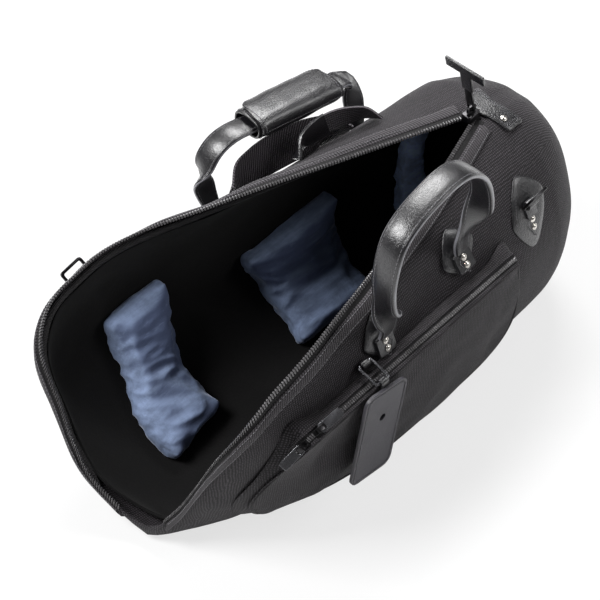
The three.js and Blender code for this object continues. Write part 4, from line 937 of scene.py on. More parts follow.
def rim_rows(rim, side, spacing):
    """Places along one rim: its edge, two places below it, and the outward normal."""
    table = np.array(rim, float) * MM
    even, marks = drawn(table, spacing)
    edge, near, far = even[:, :3], even[:, 3:6], even[:, 6:9]
    along = tangents(edge)
    down = near - edge
    reach = np.linalg.norm(down, axis=1)
    down /= reach[:, None]
    out = np.cross(down, along) * side
    out /= np.linalg.norm(out, axis=1)[:, None]
    return edge, near, far, along, down, out, reach, marks


def rim_place(rows, i, below):
    """Place a distance in metres below the edge, on the line through the rim's two lower places."""
    edge, near, far, _, down, _, reach, _ = rows
    if below <= reach[i]:
        return edge[i] + down[i] * below
    lower = far[i] - near[i]
    return near[i] + lower / np.linalg.norm(lower) * (below - reach[i])


def rim_band(name, rim, side, profile, trim=0):
    """Band that follows the rim. Profile points are (below the edge, height off the cloth)."""
    rows = rim_rows(rim, side, RIM_STEP)
    out, reach, marks = rows[5], rows[6], rows[7]
    points = []
    uvs = []
    lines = range(trim, len(marks) - trim)
    for i in lines:
        for below, height in profile:
            below *= MM
            place = Vector(rim_place(rows, i, below))
            spot, _ = laid(place, height, out[i])
            if below < reach[i] * 0.9 or (spot - place).length > FALLING_SHORT:
                spot = place + Vector(out[i]) * height * MM
            points.append(spot)
            uvs.append((marks[i], below))
    faces = lattice(len(lines), len(profile)) + caps(len(lines), len(profile))
    return turned_out(meshed(name, points, faces, uvs))


def tooth_shape(length, thick, height):
    """One moulded tooth of a zip: a bar with cut edges."""
    bpy.ops.object.select_all(action="DESELECT")
    bpy.ops.mesh.primitive_cube_add(size=1.0)
    tooth = bpy.context.object
    tooth.data.transform(Matrix.Diagonal((thick * MM, length * MM, height * MM, 1.0)))
    corner = min(thick, height) * TOOTH_CORNER_SHARE * MM
    return edited(tooth, lambda: bpy.ops.mesh.bevel(offset=corner, segments=1, affect="EDGES"))


def teeth(name, places, along, across, out, length, thick, height):
    """Row of teeth at the given places."""
    tooth = tooth_shape(length, thick, height)
    spots = [placed_at(p, a, c, o) for p, a, c, o in zip(places, along, across, out)]
    piece = joined(name, tooth, spots)
    bpy.data.objects.remove(tooth)
    return dressed(piece, "coil", "bag", uv=False, angle=30)


def make_shell(settings):
    """Outer cloth with its folds, and the plush lining."""
    shell = softened("outer_shell", "shell_cloth", 3)
    folded_cloth(shell, settings.fold_height, 0.06, 0.024, 3.0, SHELL_FOLDS)
    dressed(shell, "nylon", "bag", ("outer_shell", "foam_core"), 60)
    lining = softened("lining", "plush_lining", 3)
    folded_cloth(lining, settings.fold_height * 0.7, 0.05, 0.02, 11.0)
    dressed(lining, "lining", "bag", ("lining",), 60)


# Sections of the bands round the mouth: distance below the edge and height off the cloth, in millimetres.
ZIP_CLOTH = [(1.2, -0.6), (1.2, 0.7), (5.0, 0.9), (9.5, 0.8), (9.5, -0.6)]
WELT = [(8.2, -0.8), (8.0, 1.4), (9.0, 2.2), (13.0, 2.8), (20.0, 2.6), (22.6, 1.2), (22.8, -0.8)]


def make_mouth(settings):
    """Zip, welts and bindings round the mouth, with the slider, its pull and the tab at its end."""
    for word, rim, side in (("front", FRONT_RIM, 1.0), ("back", BACK_RIM, -1.0)):
        tape = rim_band(f"zip_cloth_{word}", rim, side, ZIP_CLOTH)
        dressed(tape, "tape", "bag", (f"zip_tape_{word}",), 50)
        welt = rim_band(f"welt_{word}", rim, side, WELT, 1)
        dressed(welt, "welt", "bag", (), 50)
        rows = rim_rows(rim, side, settings.tooth_pitch)
        edge, along, down, out = rows[0], rows[3], rows[4], rows[5]
        places = edge + down * 1.0 * MM + out * 0.4 * MM
        teeth(f"zip_teeth_{word}", places, along, down, out, 4.4, settings.tooth_pitch / MM * 0.62, 3.2)
        lip = rim_rows(rim, side, RIM_STEP)
        square = [(-0.9, -0.9), (0.9, -0.9), (0.9, 0.9), (-0.9, 0.9)]
        middle = lip[0] + lip[4] * 1.6 * MM
        core = swept(f"zip_cord_{word}", middle, lip[4], lip[5], lip[7], square)
        dressed(core, "tape", "bag", (f"zip_coil_{word}",))
        for index, below in enumerate((10.4, 20.4)):
            laying = [
                laid(rim_place(lip, i, below * MM), 2.3, lip[5][i]) for i in range(2, len(lip[7]) - 2)
            ]
            spots, normals = (np.array(column) for column in zip(*laying))
            seam(f"welt_stitches_{word}_{index + 1}", spots, normals, "bag", WELT_PITCH, False)
        binding = softened(f"rim_binding_{word}", f"inner_binding_{word}", 2)
        dressed(binding, "binding", "bag", (f"rim_binding_{word}",), 60)
    for node, name, word, body, slot in (
        ("main_slider", "slider_body", "black_metal", "bag", "gunmetal"),
        ("main_slider_bail", "slider_bridge", "black_metal", "bag", "gunmetal"),
        ("main_pull_tab", "slider_tab", "black_metal", "pull_tab", "gunmetal"),
    ):
        dressed(machined(node, name, 0.0007, 3), word, body, (node,), 35, False)
    pull = machined("main_pull_leather", "pull_leather_bar", 0.0009, 3)
    dressed(pull, "leather", "pull_leather", ("main_pull_leather",), 50, False)
    tab = softened("end_tab", "end_tab_leather", 2)
    dressed(tab, "leather", "bag", ("end_tab",), 60)
    flat = copied("end_tab", "end_tab_line")
    bordered(flat, (0.2, 0.0, 1.0), "end_tab_stitches", "bag", (2.6, 5.2), 0.3)
    bpy.data.objects.remove(flat)
    rivet("end_tab_rivet", "end_tab_stud", "bag")


# Rings of a rivet head: change of size and share of its height.
RIVET_RINGS = [(0.0, 0.25), (-0.1, 0.45), (-0.12, 0.45), (-0.1, 0.72), (-0.2, 0.9), (-0.26, 1.0)]


def middle_of(node):
    """Middle of a CAD node's box."""
    return sum(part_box(node), Vector()) / 2


def rivet(node, name, body):
    """Domed rivet head turned on its own axis, with a pressed rim."""
    points = points_of(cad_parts[node])
    centered = points - points.mean(0)
    _, _, axes = np.linalg.svd(centered, full_matrices=False)
    normal = axes[2]
    if np.dot(normal, np.array(middle_of(node) - BAG_MIDDLE)) < 0:
        normal = -normal
    levels = points @ normal
    low, height = levels.min(), np.ptp(levels)
    radius = np.linalg.norm(centered - np.outer(centered @ normal, normal), axis=1).max()
    bpy.ops.object.select_all(action="DESELECT")
    bpy.ops.mesh.primitive_circle_add(vertices=28, radius=radius, fill_type="NGON")
    stud = bpy.context.object
    solo(stud)
    bpy.ops.object.mode_set(mode="EDIT")
    bpy.ops.mesh.select_all(action="SELECT")
    size, level = 1.0, 0.0
    for change, top in RIVET_RINGS:
        target = size + change
        rise = (0.0, 0.0, (top - level) * height)
        bpy.ops.mesh.extrude_region_move(TRANSFORM_OT_translate={"value": rise})
        share = target / size
        bpy.ops.transform.resize(value=(share, share, 1.0), center_override=(0.0, 0.0, 0.0))
        size, level = target, top
    bpy.ops.mesh.inset(thickness=radius * 0.1, depth=height * 0.04)
    bpy.ops.object.mode_set(mode="OBJECT")
    normal = Vector(normal)
    turn = normal.to_track_quat("Z", "Y").to_matrix().to_4x4()
    base = Vector(points.mean(0))
    turn.translation = base + normal * (low - base.dot(normal))
    stud.data.transform(turn)
    stud.matrix_world = Matrix.Identity(4)
    stud.name = stud.data.name = name
    return dressed(turned_out(stud), "nickel", body, (node,), 50, False)


STRAP_PROFILE = [
    (-13.0, 0.0),
    (-12.7, 1.5),
    (-11.6, 2.6),
    (-10.0, 2.3),
    (-8.4, 2.9),
    (-4.0, 3.2),
    (4.0, 3.2),
    (8.4, 2.9),
    (10.0, 2.3),
    (11.6, 2.6),
    (12.7, 1.5),
    (13.0, 0.0),
    (12.7, -1.5),
    (11.6, -2.6),
    (10.0, -2.3),
    (8.4, -2.9),
    (-8.4, -2.9),
    (-10.0, -2.3),
    (-11.6, -2.6),
    (-12.7, -1.5),
]


def ring_of(width, height, sides=8):
    """Oval section of a cord, in millimetres."""
    angles = np.linspace(0, 2 * math.pi, sides + 1)[:-1]
    return [(width * math.cos(angle), height * math.sin(angle)) for angle in angles]


def make_strap(word, rows):
    """Leather carry strap with piped and stitched edges; the pale piping along each edge is a painted
    highlight.
    """
    places, _, across, out, marks = strap_frames(rows)
    taper = np.minimum(1.0, 0.72 + 0.28 * np.minimum(marks, marks[-1] - marks) / 0.03)
    scaled = across * taper[:, None]
    body = f"{word}_handle"
    piece = swept(f"{word}_strap", places, scaled, out, marks, STRAP_PROFILE)
    dressed(piece, "strap", body, (body,), 60)
    for name, reach in (("left", -1.0), ("right", 1.0)):
        edge = places + scaled * reach * 12.75 * MM
        # Pale piping along the edge: a painted highlight.
        rim = swept(f"{word}_strap_edge_{name}", edge, scaled, out, marks, ring_of(0.55, 1.35))
        dressed(rim, "edge", body, (), 60)
        for face, sign in (("outer", 1.0), ("inner", -1.0)):
            line = places + scaled * reach * 10.0 * MM + out * sign * 2.3 * MM
            facing = out * sign
            seam(f"{word}_strap_stitches_{name}_{face}", line[2:-2], facing[2:-2], body, STRAP_PITCH, False)


def make_handles():
    """Both carry handles with their patches, ends, rivets and stitches, and the grip."""
    make_strap("front", FRONT_STRAP)
    make_strap("back", BACK_STRAP)
    for side in ("front", "back"):
        for end in ("narrow", "bell"):
            name = f"{side}_handle_{end}"
            patch_piece(f"{name}_patch", f"{name}_leather")
            tongue = softened(f"{name}_end", f"{name}_tongue", 2)
            dressed(tongue, "strap", "bag", (f"{name}_end",), 60)
            for k in (1, 2):
                rivet(f"{name}_rivet_{k}", f"{name}_stud_{k}", "bag")
            diamond(name, [f"{name}_rivet_1", f"{name}_rivet_2"])
    make_grip_wrap()
    make_grip_flap()


def outward(node):
    """Direction from inside the bag through the middle of a node."""
    middle = middle_of(node)
    return (middle - Vector((middle.x * 0.75, -0.005, 0.11))).normalized()


def patch_piece(node, name):
    """Leather patch: pressed edge, slight crown and one line of stitches round it."""
    way = outward(node)
    patch = softened(node, name, 2)
    points = points_of(patch)
    places, _ = outline(patch, way)
    reach = np.min(np.linalg.norm(points[:, None, :] - places[None, :, :], axis=2), axis=1)
    pressed = np.exp(-(((reach - 2.6 * MM) / (1.0 * MM)) ** 2))
    crown = np.clip(reach / (9 * MM), 0, 1) ** 0.6 - pressed * 0.35
    set_points(patch, points + np.array(way)[None, :] * crown[:, None] * 0.8 * MM)
    dressed(patch, "leather", "bag", (node,), 60)
    flat = copied(node, name + "_line")
    bordered(flat, way, name + "_stitches", "bag", (2.6,), 0.25)
    bpy.data.objects.remove(flat)


def diamond(name, nodes, width=15.0, height=26.0):
    """Stitched diamond round two rivets."""
    centers = [middle_of(node) for node in nodes]
    middle = sum(centers, Vector()) / 2
    up = (centers[1] - centers[0]).normalized()
    side = up.cross(outward(nodes[0])).normalized()
    way = side.cross(up).normalized()
    corners = [up * height / 2, side * width / 2, up * -height / 2, side * -width / 2]
    points = []
    for k in range(4):
        for step in range(5):
            corner = corners[k].lerp(corners[(k + 1) % 4], (step + 0.5) / 5)
            points.append(middle + (corner - way * 0.9) * MM)
    seam(f"{name}_diamond", np.array(points), np.array([way] * len(points)), "bag", BORDER_PITCH)


def grip_section(angle):
    """Place on the grip's rounded section, for half width and half thickness of 1."""
    c, s = math.cos(angle), math.sin(angle)
    return math.copysign(abs(c) ** GRIP_SIDE_POWER, c), math.copysign(abs(s) ** GRIP_TOP_POWER, s)


def grip_frame():
    """Middle of the grip wrap, its directions along, across and over, and its half sizes."""
    points = points_of(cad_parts["grip_wrap"])
    middle = points.mean(0)
    _, _, axes = np.linalg.svd(points - middle, full_matrices=False)
    along = axes[0] if axes[0][0] > 0 else -axes[0]
    across = axes[1] if axes[1][1] > 0 else -axes[1]
    over = np.cross(along, across)
    if over[2] < 0:
        over = -over
    half = np.ptp((points - middle) @ along) / 2
    width = np.abs((points - middle) @ across).max() + 2.0 * MM
    thick = np.abs((points - middle) @ over).max() + 4.0 * MM
    return middle, along, across, over, half, width, thick


def make_grip_wrap():
    """Padded wrap round the back handle's straight part, open at both ends."""
    middle, along, across, over, half, width, thick = grip_frame()
    rings, sides = 23, 28
    shape = [grip_section(2 * math.pi * k / sides) for k in range(sides)]
    vertices = []
    uvs = []
    for i in range(rings):
        share = i / (rings - 1) * 2 - 1
        pinch = 1.0 - 0.09 * abs(share) ** 6 + 0.02 * math.sin(share * 9)
        for j, (c, s) in enumerate(shape):
            wrinkle = noise.noise(Vector((c * 2, s * 2, share * 3.5))) * 0.5 * MM
            wide = c * (width - 0.2 * MM) * pinch + wrinkle
            high = s * (thick - 0.1 * MM) * pinch + wrinkle
            vertices.append(middle + along * half * share + across * wide + over * high)
            uvs.append((share * half, j * 3.4 * MM))
    wrap = turned_out(meshed("grip_pad", vertices, lattice(rings, sides), uvs))
    if sum(face.normal.dot(face.center - Vector(middle)) for face in wrap.data.polygons) < 0:
        wrap.data.flip_normals()
    applied(wrap, "SOLIDIFY", thickness=2.6 * MM, offset=-1.0)
    bevelled(wrap, 0.7 * MM, 2, 50)
    dressed(wrap, "leather", "back_handle", ("grip_wrap",), 50)
    for word, share in (("narrow", -0.93), ("bell", 0.93)):
        place = middle + along * half * share
        wide, high = (width - 1.0 * MM) * 0.96, (thick - 0.3 * MM) * 0.95
        line = np.array([place + across * c * wide + over * s * high for c, s in shape])
        facing = np.array([across * c + over * s for c, s in shape])
        seam(f"grip_pad_stitches_{word}", line, facing, "back_handle", GRIP_PITCH)


def make_grip_flap():
    """Flap that closes over the grip wrap, with a stitched edge and two cut corners."""
    middle, along, across, over, half, width, thick = grip_frame()
    points = []
    uvs = []
    cells = 30
    half -= 2.0 * MM
    for i in range(cells + 1):
        run = i / cells * 2 - 1
        past = max(0.0, (half * abs(run) - half + FLAP_CORNER) / FLAP_CORNER)
        trim = (1 - math.sqrt(1 - min(past, 1.0) ** 2)) * 0.4
        for j in range(cells + 1):
            spread = trim + (1 - trim) * j / cells
            c, s = grip_section(FLAP_START + (FLAP_END - FLAP_START) * spread)
            dent = noise.noise(Vector((run * 2.4, spread * 2.6, 5.0))) * 0.8 * MM
            puff = (1.9 + 1.6 * math.sin(math.pi * spread) * (1 - run**4)) * MM + dent
            place = middle + along * half * run
            points.append(place + across * c * (width + puff) + over * s * (thick + puff))
            uvs.append((run * half, spread * 55 * MM))
    faces = lattice(cells + 1, cells + 1, False, False)
    flap = turned_out(meshed("grip_cover", points, faces, uvs))
    if sum(face.normal.dot(Vector(over)) for face in flap.data.polygons) < 0:
        flap.data.flip_normals()
    ring = [(i, 1) for i in range(1, cells - 1)] + [(cells - 1, j) for j in range(1, cells - 1)]
    ring += [(i, cells - 1) for i in range(cells - 1, 1, -1)] + [(1, j) for j in range(cells - 1, 1, -1)]
    vertices = [flap.data.vertices[i * (cells + 1) + j] for i, j in ring]
    line = np.array([vertex.co + vertex.normal * 1.1 * MM for vertex in vertices])
    facing = np.array([vertex.normal for vertex in vertices])
    applied(flap, "SOLIDIFY", thickness=2.0 * MM, offset=0.0)
    bevelled(flap, 0.5 * MM, 2, 50)
    dressed(flap, "leather", "grip_flap", ("grip_flap",), 50)
    seam("grip_cover_stitches", line, facing, "grip_flap", GRIP_PITCH)


# Section of the leather tab round the upper webbing, in millimetres.
WEBBING_SLEEVE = [
    (-14.2, 1.4),
    (-13.0, 2.6),
    (13.0, 2.6),
    (14.2, 1.4),
    (14.2, -1.4),
    (13.0, -2.0),
    (-13.0, -2.0),
    (-14.2, -1.4),
]


def webbing_band(word, rows, half, wider, first, finish):
    """One ribbed band, wider on the side of its arch. Returns the frames of its whole line."""
    places, along, across, out, marks = strap_frames(rows)
    if np.dot(out.mean(0), places.mean(0) - np.array(BAG_MIDDLE)) < 0:
        out = -out
    arch = places[len(places) // 2] - (places[0] + places[-1]) / 2
    arched = np.dot(across.mean(0), arch) > 0
    low, high = (-half - wider, half) if arched else (-half, half + wider)
    profile = [(low + (high - low) * k / 10, 1.1 + 0.15 * math.cos(k * 1.8)) for k in range(11)]
    profile += [(high, -0.9), (low, -0.9)]
    band = [column[first:] for column in (places, across, out, marks)]
    piece = swept(f"{word}_webbing_band", *band, profile)
    dressed(piece, finish, "bag", (f"webbing_{word}",), 50)
    return places, along, across, out, marks


def make_webbing():
    """Ribbed webbing at the back of the mouth. The upper band ends in a stitched leather tab."""
    end = 13
    webbing_band("low", LOW_WEBBING, 17.0, 8.0, 0, "cross_webbing")
    places, along, across, out, marks = webbing_band("high", HIGH_WEBBING, 13.0, 0.0, end - 2, "webbing")
    tab = swept("webbing_tab", places[:end], across[:end], out[:end], marks[:end], WEBBING_SLEEVE)
    dressed(tab, "leather", "bag", (), 50)
    last = end - 1
    place = places[last] + out[last] * 2.7 * MM - along[last] * 2.0 * MM
    line = [place + across[last] * share * 11 * MM for share in np.linspace(-1, 1, 6)]
    seam("webbing_tab_stitches", np.array(line), np.tile(out[last], (6, 1)), "bag", 3.2, False)


def make_hangers():
    """Ring hangers: kite patches with folded loops, flat rings and rivets."""
    for word, count in (("bell", 2), ("narrow", 1)):
        name = f"ring_hanger_{word}"
        patch_piece(f"{name}_patch", f"{word}_hanger_leather")
        loop = machined(f"{name}_loop", f"{word}_hanger_loop", 0.0006, 2, 25)
        dressed(loop, "leather", "bag", (f"{name}_loop",), 40, False)
        ring = machined(f"{name}_ring", f"{word}_flat_ring", 0.0009, 3)
        dressed(ring, "black_metal", f"{word}_ring", (f"{name}_ring",), 35, False)
        for k in range(count):
            rivet(f"{name}_rivet_{k + 1}", f"{word}_hanger_stud_{k + 1}", "bag")
        if count == 2:
            diamond(f"{word}_hanger", [f"{name}_rivet_1", f"{name}_rivet_2"], 17.0, 30.0)


def pocket_zip_rows():
    """Middle line of the pocket's zip, with its directions, from the pocket's edge."""
    table = np.array(POCKET_EDGE, float)
    table[:, :3] *= MM
    count = len(table)
    rows = []
    back = np.array((0.0, 1.0, 0.0))
    for k in range(16, 26):
        here, before, after = table[k % count], table[(k - 1) % count], table[(k + 1) % count]
        along = after[:3] - before[:3]
        along /= np.linalg.norm(along)
        inward = back * math.cos(ZIP_TILT) + here[3:6] * math.sin(ZIP_TILT)
        out = np.cross(inward, along)
        out /= np.linalg.norm(out)
        place = here[:3] + back * 2.4 * MM + inward * 5.1 * MM + out * 0.6 * MM
        rows.append(np.concatenate([place, inward, out]))
    return np.array(rows)


def make_pocket(settings):
    """Bellows pocket: cloth front, sides, piped seams, zip with teeth and two sliders."""
    panel = softened("pocket_panel", "pocket_front", 3)
    folded_cloth(panel, settings.fold_height * 1.2, 0.045, 0.018, 21.0, POCKET_FOLDS)
    dressed(panel, "pocket", "bag", ("pocket_panel",), 60)
    gusset = softened("pocket_gusset", "pocket_sides", 2)
    folded_cloth(gusset, settings.fold_height * 0.4, 0.03, 0.015, 31.0)
    dressed(gusset, "pocket", "bag", ("pocket_gusset",), 60)
    rows = np.array(POCKET_EDGE, float)
    rows[:, :3] *= MM
    rows[:, :3] += rows[:, 3:6] * -0.4 * MM
    rows[:, 1] += 0.6 * MM
    even, marks = drawn(rows, RIM_STEP, True)
    ahead = tangents(even[:, :3], True)
    across = np.tile((0.0, 1.0, 0.0), (len(even), 1))
    across = across - ahead * np.sum(across * ahead, axis=1)[:, None]
    out = np.cross(across, ahead)
    cord = swept("pocket_piping_1", even[:, :3], across, out, marks, ring_of(1.5, 1.5), True)
    dressed(cord, "piping", "bag", (), 60)
    rows = pocket_zip_rows()
    even, marks = drawn(rows, 0.005)
    places, inward, out = even[:, :3], even[:, 3:6], even[:, 6:9]
    strip = [(-6.5, -0.3), (6.5, -0.3), (6.5, 0.5), (2.4, 0.9), (-2.4, 0.9), (-6.5, 0.5)]
    fold = [(-1.9, -0.2), (1.9, -0.2), (1.9, 1.2), (0.8, 2.0), (-0.8, 2.0), (-1.9, 1.2)]
    tape = swept("pocket_zip_cloth", places, inward, out, marks, strip)
    dressed(tape, "tape", "bag", (), 60)
    for word, side in (("near", -1.0), ("far", 1.0)):
        line = places + inward * side * 5.6 * MM
        hem = swept(f"pocket_zip_hem_{word}", line, inward, out, marks, fold)
        dressed(hem, "pocket", "bag", (), 60)
    even, marks = drawn(rows, settings.tooth_pitch * 0.8)
    places, inward, out = even[:, :3], even[:, 3:6], even[:, 6:9]
    row = teeth("pocket_zip_teeth", places + out * 1.3 * MM, tangents(places), inward, out, 4.2, 1.5, 1.8)
    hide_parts("pocket_zip")
    for word in ("top", "end"):
        node = f"pocket_slider_{word}"
        slider = machined(node, f"{word}_slider_body", 0.0006, 3)
        dressed(slider, "black_metal", node, (node,), 35, False)
        tab = machined(f"{node}_tab", f"{word}_slider_tab", 0.0005, 3)
        dressed(tab, "gunmetal", f"{node}_tab", (f"{node}_tab",), 35, False)


def make_tag():
    """Luggage tag with a stitched border on its ring and strap."""
    for node, name, word, body, slot, width in (
        ("tag_loop", "tag_hanger", "leather", "bag", "leather", 0.0005),
        ("tag_ring", "tag_wire_ring", "gunmetal", "tag_ring", "gunmetal", 0.0007),
        ("tag_strap", "tag_strap_leather", "strap", "luggage_tag", "leather", 0.0006),
        ("luggage_tag", "tag_leather_plate", "tag", "luggage_tag", "leather", 0.0009),
    ):
        dressed(machined(node, name, width, 3), word, body, (node,), 40, False)
    flat = copied("luggage_tag", "tag_line", False)
    edited(flat, lambda: bpy.ops.mesh.dissolve_limited(angle_limit=math.radians(4)))
    bordered(flat, (0.0, -1.0, 0.03), "tag_stitches", "luggage_tag", (3.0,), 0.2)
    bpy.data.objects.remove(flat)


def make_blocks(settings):
    """Velour blocks: boxy pads stuffed by cloth simulation, with pleats where they bend."""
    for index, (node, name, finish) in enumerate(BLOCKS):
        piece = copied(node, name)
        bevelled(piece, settings.block_corner, 3, 48, use_clamp_overlap=True)
        applied(piece, "SUBSURF", subdivision_type="SIMPLE", levels=2, render_levels=2)
        stuffed(piece, settings.block_voxel, settings.block_swell)
        applied(piece, "SUBSURF", levels=1, render_levels=1)
        creased(piece, index)
        dressed(piece, finish, node, (node,), 80)


def stuffed(piece, voxel, limit):
    """Remeshes a pad, blows it up a little with cloth pressure and keeps each point within a limit."""
    applied(piece, "REMESH", mode="VOXEL", voxel_size=voxel)
    start = points_of(piece)
    normals = np.array([vertex.normal for vertex in piece.data.vertices])
    start -= normals * PAD_INSET
    set_points(piece, start)
    cloth = piece.modifiers.new("cloth", "CLOTH")
    cloth.settings.use_pressure = True
    cloth.settings.uniform_pressure_force = PAD_PRESSURE
    cloth.settings.effector_weights.gravity = 0.0
    cloth.settings.quality = PAD_QUALITY
    scene = bpy.context.scene
    for number in range(1, PAD_FRAMES + 1):
        scene.frame_set(number)
    solo(piece)
    bpy.ops.object.modifier_apply(modifier=cloth.name)
    scene.frame_set(1)
    moved = points_of(piece) - start
    far = np.linalg.norm(moved, axis=1)
    moved *= np.minimum(1.0, limit / np.maximum(far, 1e-9))[:, None]
    set_points(piece, start + moved)


def creased(piece, seed):
    """Dents all over a pad, and deep pleats low down, where its velour is pulled round the bend."""
    points = points_of(piece)
    normals = np.array([vertex.normal for vertex in piece.data.vertices])
    shift = Vector((seed * 3.1, 7.0, seed * 1.3))
    for i, point in enumerate(points):
        place = Vector(point)
        low = 1.0 / (1.0 + math.exp((place.z - BEND_HEIGHT) / BEND_SOFTNESS))
        slow = noise.noise(place / 0.035 + shift)
        thin = noise.noise(Vector((place.x / 0.03, place.y / 0.012, place.z / 0.012)) + shift)
        slant, turned = place.x - place.y * 0.4, place.y + place.x * 0.35
        skewed = Vector((slant / 0.06, turned / 0.0145, place.z / 0.0145))
        pleat = -abs(noise.noise(skewed + shift * 2))
        move = slow * 0.5 + thin * 0.3 + pleat * (0.4 + 4.4 * low) + 0.6 + 0.9 * low
        points[i] = point + normals[i] * move * MM
    set_points(piece, points)


# Stage


def make_stage(settings):
    """Pale floor, plain soft lights, white surroundings and the camera."""
    bpy.ops.object.select_all(action="DESELECT")
    bpy.ops.mesh.primitive_plane_add(size=FLOOR_SIZE)
    floor = bpy.context.object
    floor.name = "floor"
    finish = Finish("pale_floor", Roughness=0.95, Specular_IOR_Level=0.1)
    grain = finish.noise(finish.place(), 3.0, 2.0)
    finish.feed(Base_Color=finish.blend(grain, tone(0.86, 0.86, 0.865), tone(0.9, 0.9, 0.9)))
    seen = finish.node("ShaderNodeLightPath", {}) * settings.floor_glow
    glow = finish.node("ShaderNodeEmission", {})
    paled = finish.node("ShaderNodeMixShader", {}, seen, finish.shown("Principled BSDF"), glow)
    finish.surface("Material Output", paled)
    floor.data.materials.append(finish.material)
    world = bpy.data.worlds.new("studio")
    bpy.context.scene.world = world
    world.use_nodes = True
    sky = Nodes(world.node_tree)
    back = sky.tree.nodes["Background"]
    back.inputs["Color"].default_value = (1.0, 1.0, 1.0, 1.0)
    back.inputs["Strength"].default_value = settings.surround
    white = sky.node("ShaderNodeBackground", {}, Strength=1.0)
    seen = sky.node("ShaderNodeLightPath", {})
    sky.surface("World Output", sky.node("ShaderNodeMixShader", {}, seen, sky.shown("Background"), white))
    for name, place, size, share in LIGHTS:
        data = bpy.data.lights.new(name, "AREA")
        data.size = size
        data.energy = settings.key_power * share
        lamp = bpy.data.objects.new(name, data)
        bpy.context.collection.objects.link(lamp)
        lamp.location = place
        lamp.rotation_euler = (AIM - Vector(place)).to_track_quat("-Z", "Y").to_euler()
    data = bpy.data.cameras.new("photo_camera")
    data.lens = settings.lens
    camera = bpy.data.objects.new("photo_camera", data)
    bpy.context.collection.objects.link(camera)
    turn, lift = settings.azimuth, settings.elevation
    back_way = Vector((math.sin(turn) * math.cos(lift), -math.cos(turn) * math.cos(lift), math.sin(lift)))
    camera.location = Vector(settings.target) + back_way * settings.distance
    camera.rotation_euler = (-back_way).to_track_quat("-Z", "Y").to_euler()
    bpy.context.scene.camera = camera
    bpy.context.scene.view_settings.view_transform = "Standard"


# Add-on


class GigBagColors(bpy.types.PropertyGroup):
    """Base colours of the bag."""

    nylon: bpy.props.FloatVectorProperty(
        name="Nylon", description="Outer cloth", subtype="COLOR", size=3,
        default=(0.0155, 0.0132, 0.0158), min=0.0, max=1.0,
    )
    lining: bpy.props.FloatVectorProperty(
        name="Lining", description="Plush inside the bag", subtype="COLOR", size=3,
        default=(0.0022, 0.0019, 0.0022), min=0.0, max=1.0,
    )
    leather: bpy.props.FloatVectorProperty(
        name="Leather", description="Handles and patches", subtype="COLOR", size=3,
        default=(0.0085, 0.008, 0.010), min=0.0, max=1.0,
    )
    velour: bpy.props.FloatVectorProperty(
        name="Velour", description="Support blocks", subtype="COLOR", size=3,
        default=(0.17, 0.22, 0.34), min=0.0, max=1.0,
    )


class GigBagSizes(bpy.types.PropertyGroup):
    """Sizes and light that a user may change."""

    fold_height: bpy.props.FloatProperty(
        name="Fold height", description="Unevenness of the cloth", default=0.0028, min=0.0,
        max=0.01, unit="LENGTH",
    )
    tooth_pitch: bpy.props.FloatProperty(
        name="Tooth pitch", description="Distance between the zip's teeth", default=0.0029,
        min=0.001, max=0.01, unit="LENGTH",
    )
    block_voxel: bpy.props.FloatProperty(
        name="Block voxel", description="Mesh size of the stuffed blocks", default=0.005,
        min=0.002, max=0.02, unit="LENGTH",
    )
    block_swell: bpy.props.FloatProperty(
        name="Block swell", description="Furthest that a block's cloth moves", default=0.005,
        min=0.0, max=0.02, unit="LENGTH",
    )
    block_corner: bpy.props.FloatProperty(
        name="Block corner", description="Rounding of the blocks' edges", default=0.005, min=0.0,
        max=0.02, unit="LENGTH",
    )
    surround: bpy.props.FloatProperty(
        name="Surround", description="Strength of the light all round", default=0.14, min=0.0,
        max=2.0,
    )
    floor_glow: bpy.props.FloatProperty(
        name="Floor glow", description="Share of plain white in the floor as the camera sees it",
        default=0.72, min=0.0, max=1.0,
    )
    key_power: bpy.props.FloatProperty(
        name="Key light", description="Power of the main light", default=52.0, min=0.0,
        unit="POWER",
    )
    lens: bpy.props.FloatProperty(
        name="Lens", description="Focal length in millimetres", default=92.7, min=10.0,
        max=300.0,
    )
    azimuth: bpy.props.FloatProperty(
        name="Azimuth", description="Camera's turn round the bag", default=math.radians(-46),
        subtype="ANGLE",
    )
    elevation: bpy.props.FloatProperty(
        name="Elevation", description="Camera's height angle", default=math.radians(50),
        subtype="ANGLE",
    )
    distance: bpy.props.FloatProperty(
        name="Distance", description="Camera to the aimed place", default=1.5, min=0.2,
        unit="LENGTH",
    )
    target: bpy.props.FloatVectorProperty(
        name="Target", description="Place that the camera looks at", size=3,
        default=(-0.0408, -0.0051, 0.129), subtype="XYZ", unit="LENGTH",
    )


class GIGBAG_OT_shell(bpy.types.Operator):
    """Makes the outer cloth and the lining"""

    bl_idname = "gigbag.shell"
    bl_label = "Outer cloth and lining"

    def execute(self, context):
        make_shell(context.scene.gig_bag_sizes)
        return {"FINISHED"}


class GIGBAG_OT_mouth(bpy.types.Operator):
    """Makes the zip, welts and bindings round the mouth"""

    bl_idname = "gigbag.mouth"
    bl_label = "Mouth and main zip"

    def execute(self, context):
        make_mouth(context.scene.gig_bag_sizes)
        return {"FINISHED"}


class GIGBAG_OT_handles(bpy.types.Operator):
    """Makes both carry handles and the grip wrap"""

    bl_idname = "gigbag.handles"
    bl_label = "Carry handles"

    def execute(self, context):
        make_handles()
        return {"FINISHED"}


class GIGBAG_OT_webbing(bpy.types.Operator):
    """Makes the webbing across the back"""

    bl_idname = "gigbag.webbing"
    bl_label = "Webbing"

    def execute(self, context):
        make_webbing()
        return {"FINISHED"}


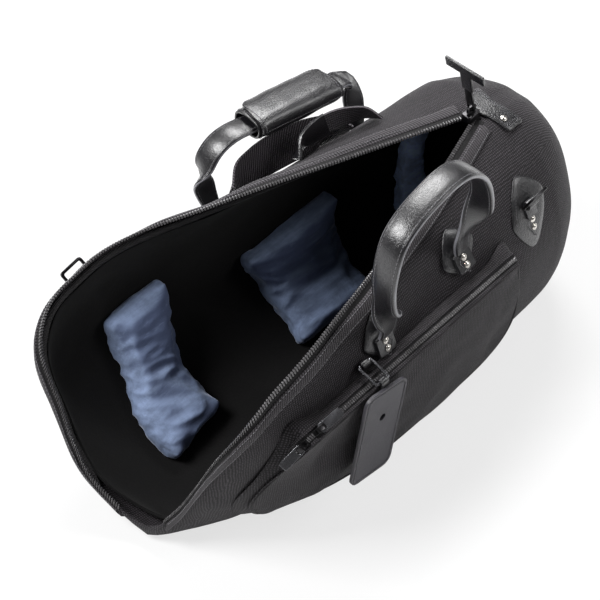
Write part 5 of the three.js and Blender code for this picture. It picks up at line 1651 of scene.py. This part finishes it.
class GIGBAG_OT_hangers(bpy.types.Operator):
    """Makes the ring hangers"""

    bl_idname = "gigbag.hangers"
    bl_label = "Ring hangers"

    def execute(self, context):
        make_hangers()
        return {"FINISHED"}


class GIGBAG_OT_pocket(bpy.types.Operator):
    """Makes the front pocket with its zip and sliders"""

    bl_idname = "gigbag.pocket"
    bl_label = "Front pocket"

    def execute(self, context):
        make_pocket(context.scene.gig_bag_sizes)
        return {"FINISHED"}


class GIGBAG_OT_tag(bpy.types.Operator):
    """Makes the luggage tag with its ring and strap"""

    bl_idname = "gigbag.tag"
    bl_label = "Luggage tag"

    def execute(self, context):
        make_tag()
        return {"FINISHED"}


class GIGBAG_OT_blocks(bpy.types.Operator):
    """Makes the velour support blocks"""

    bl_idname = "gigbag.blocks"
    bl_label = "Velour blocks"

    def execute(self, context):
        make_blocks(context.scene.gig_bag_sizes)
        return {"FINISHED"}


class GIGBAG_OT_stage(bpy.types.Operator):
    """Makes the floor, the lights and the camera"""

    bl_idname = "gigbag.stage"
    bl_label = "Stage"

    def execute(self, context):
        make_stage(context.scene.gig_bag_sizes)
        return {"FINISHED"}


class GIGBAG_PT_panel(bpy.types.Panel):
    """Lists the operators with the sizes and colours."""

    bl_idname = "GIGBAG_PT_panel"
    bl_label = "Gig Bag"
    bl_space_type = "VIEW_3D"
    bl_region_type = "UI"
    bl_category = "Gig Bag"

    def draw(self, context):
        for word in STEPS:
            self.layout.operator(f"gigbag.{word}")
        for group in (context.scene.gig_bag_colors, context.scene.gig_bag_sizes):
            for key in group.__annotations__:
                self.layout.prop(group, key)


STEPS = ("stage", "shell", "mouth", "handles", "webbing", "hangers", "pocket", "tag", "blocks")

CLASSES = (
    GigBagColors,
    GigBagSizes,
    GIGBAG_OT_shell,
    GIGBAG_OT_mouth,
    GIGBAG_OT_handles,
    GIGBAG_OT_webbing,
    GIGBAG_OT_hangers,
    GIGBAG_OT_pocket,
    GIGBAG_OT_tag,
    GIGBAG_OT_blocks,
    GIGBAG_OT_stage,
    GIGBAG_PT_panel,
)


def register():
    for item in CLASSES:
        bpy.utils.register_class(item)
    bpy.types.Scene.gig_bag_colors = bpy.props.PointerProperty(type=GigBagColors)
    bpy.types.Scene.gig_bag_sizes = bpy.props.PointerProperty(type=GigBagSizes)


def unregister():
    del bpy.types.Scene.gig_bag_sizes
    del bpy.types.Scene.gig_bag_colors
    for item in reversed(CLASSES):
        bpy.utils.unregister_class(item)


def main():
    register()
    for word in STEPS:
        getattr(bpy.ops.gigbag, word)()


if __name__ == "__main__":
    main()
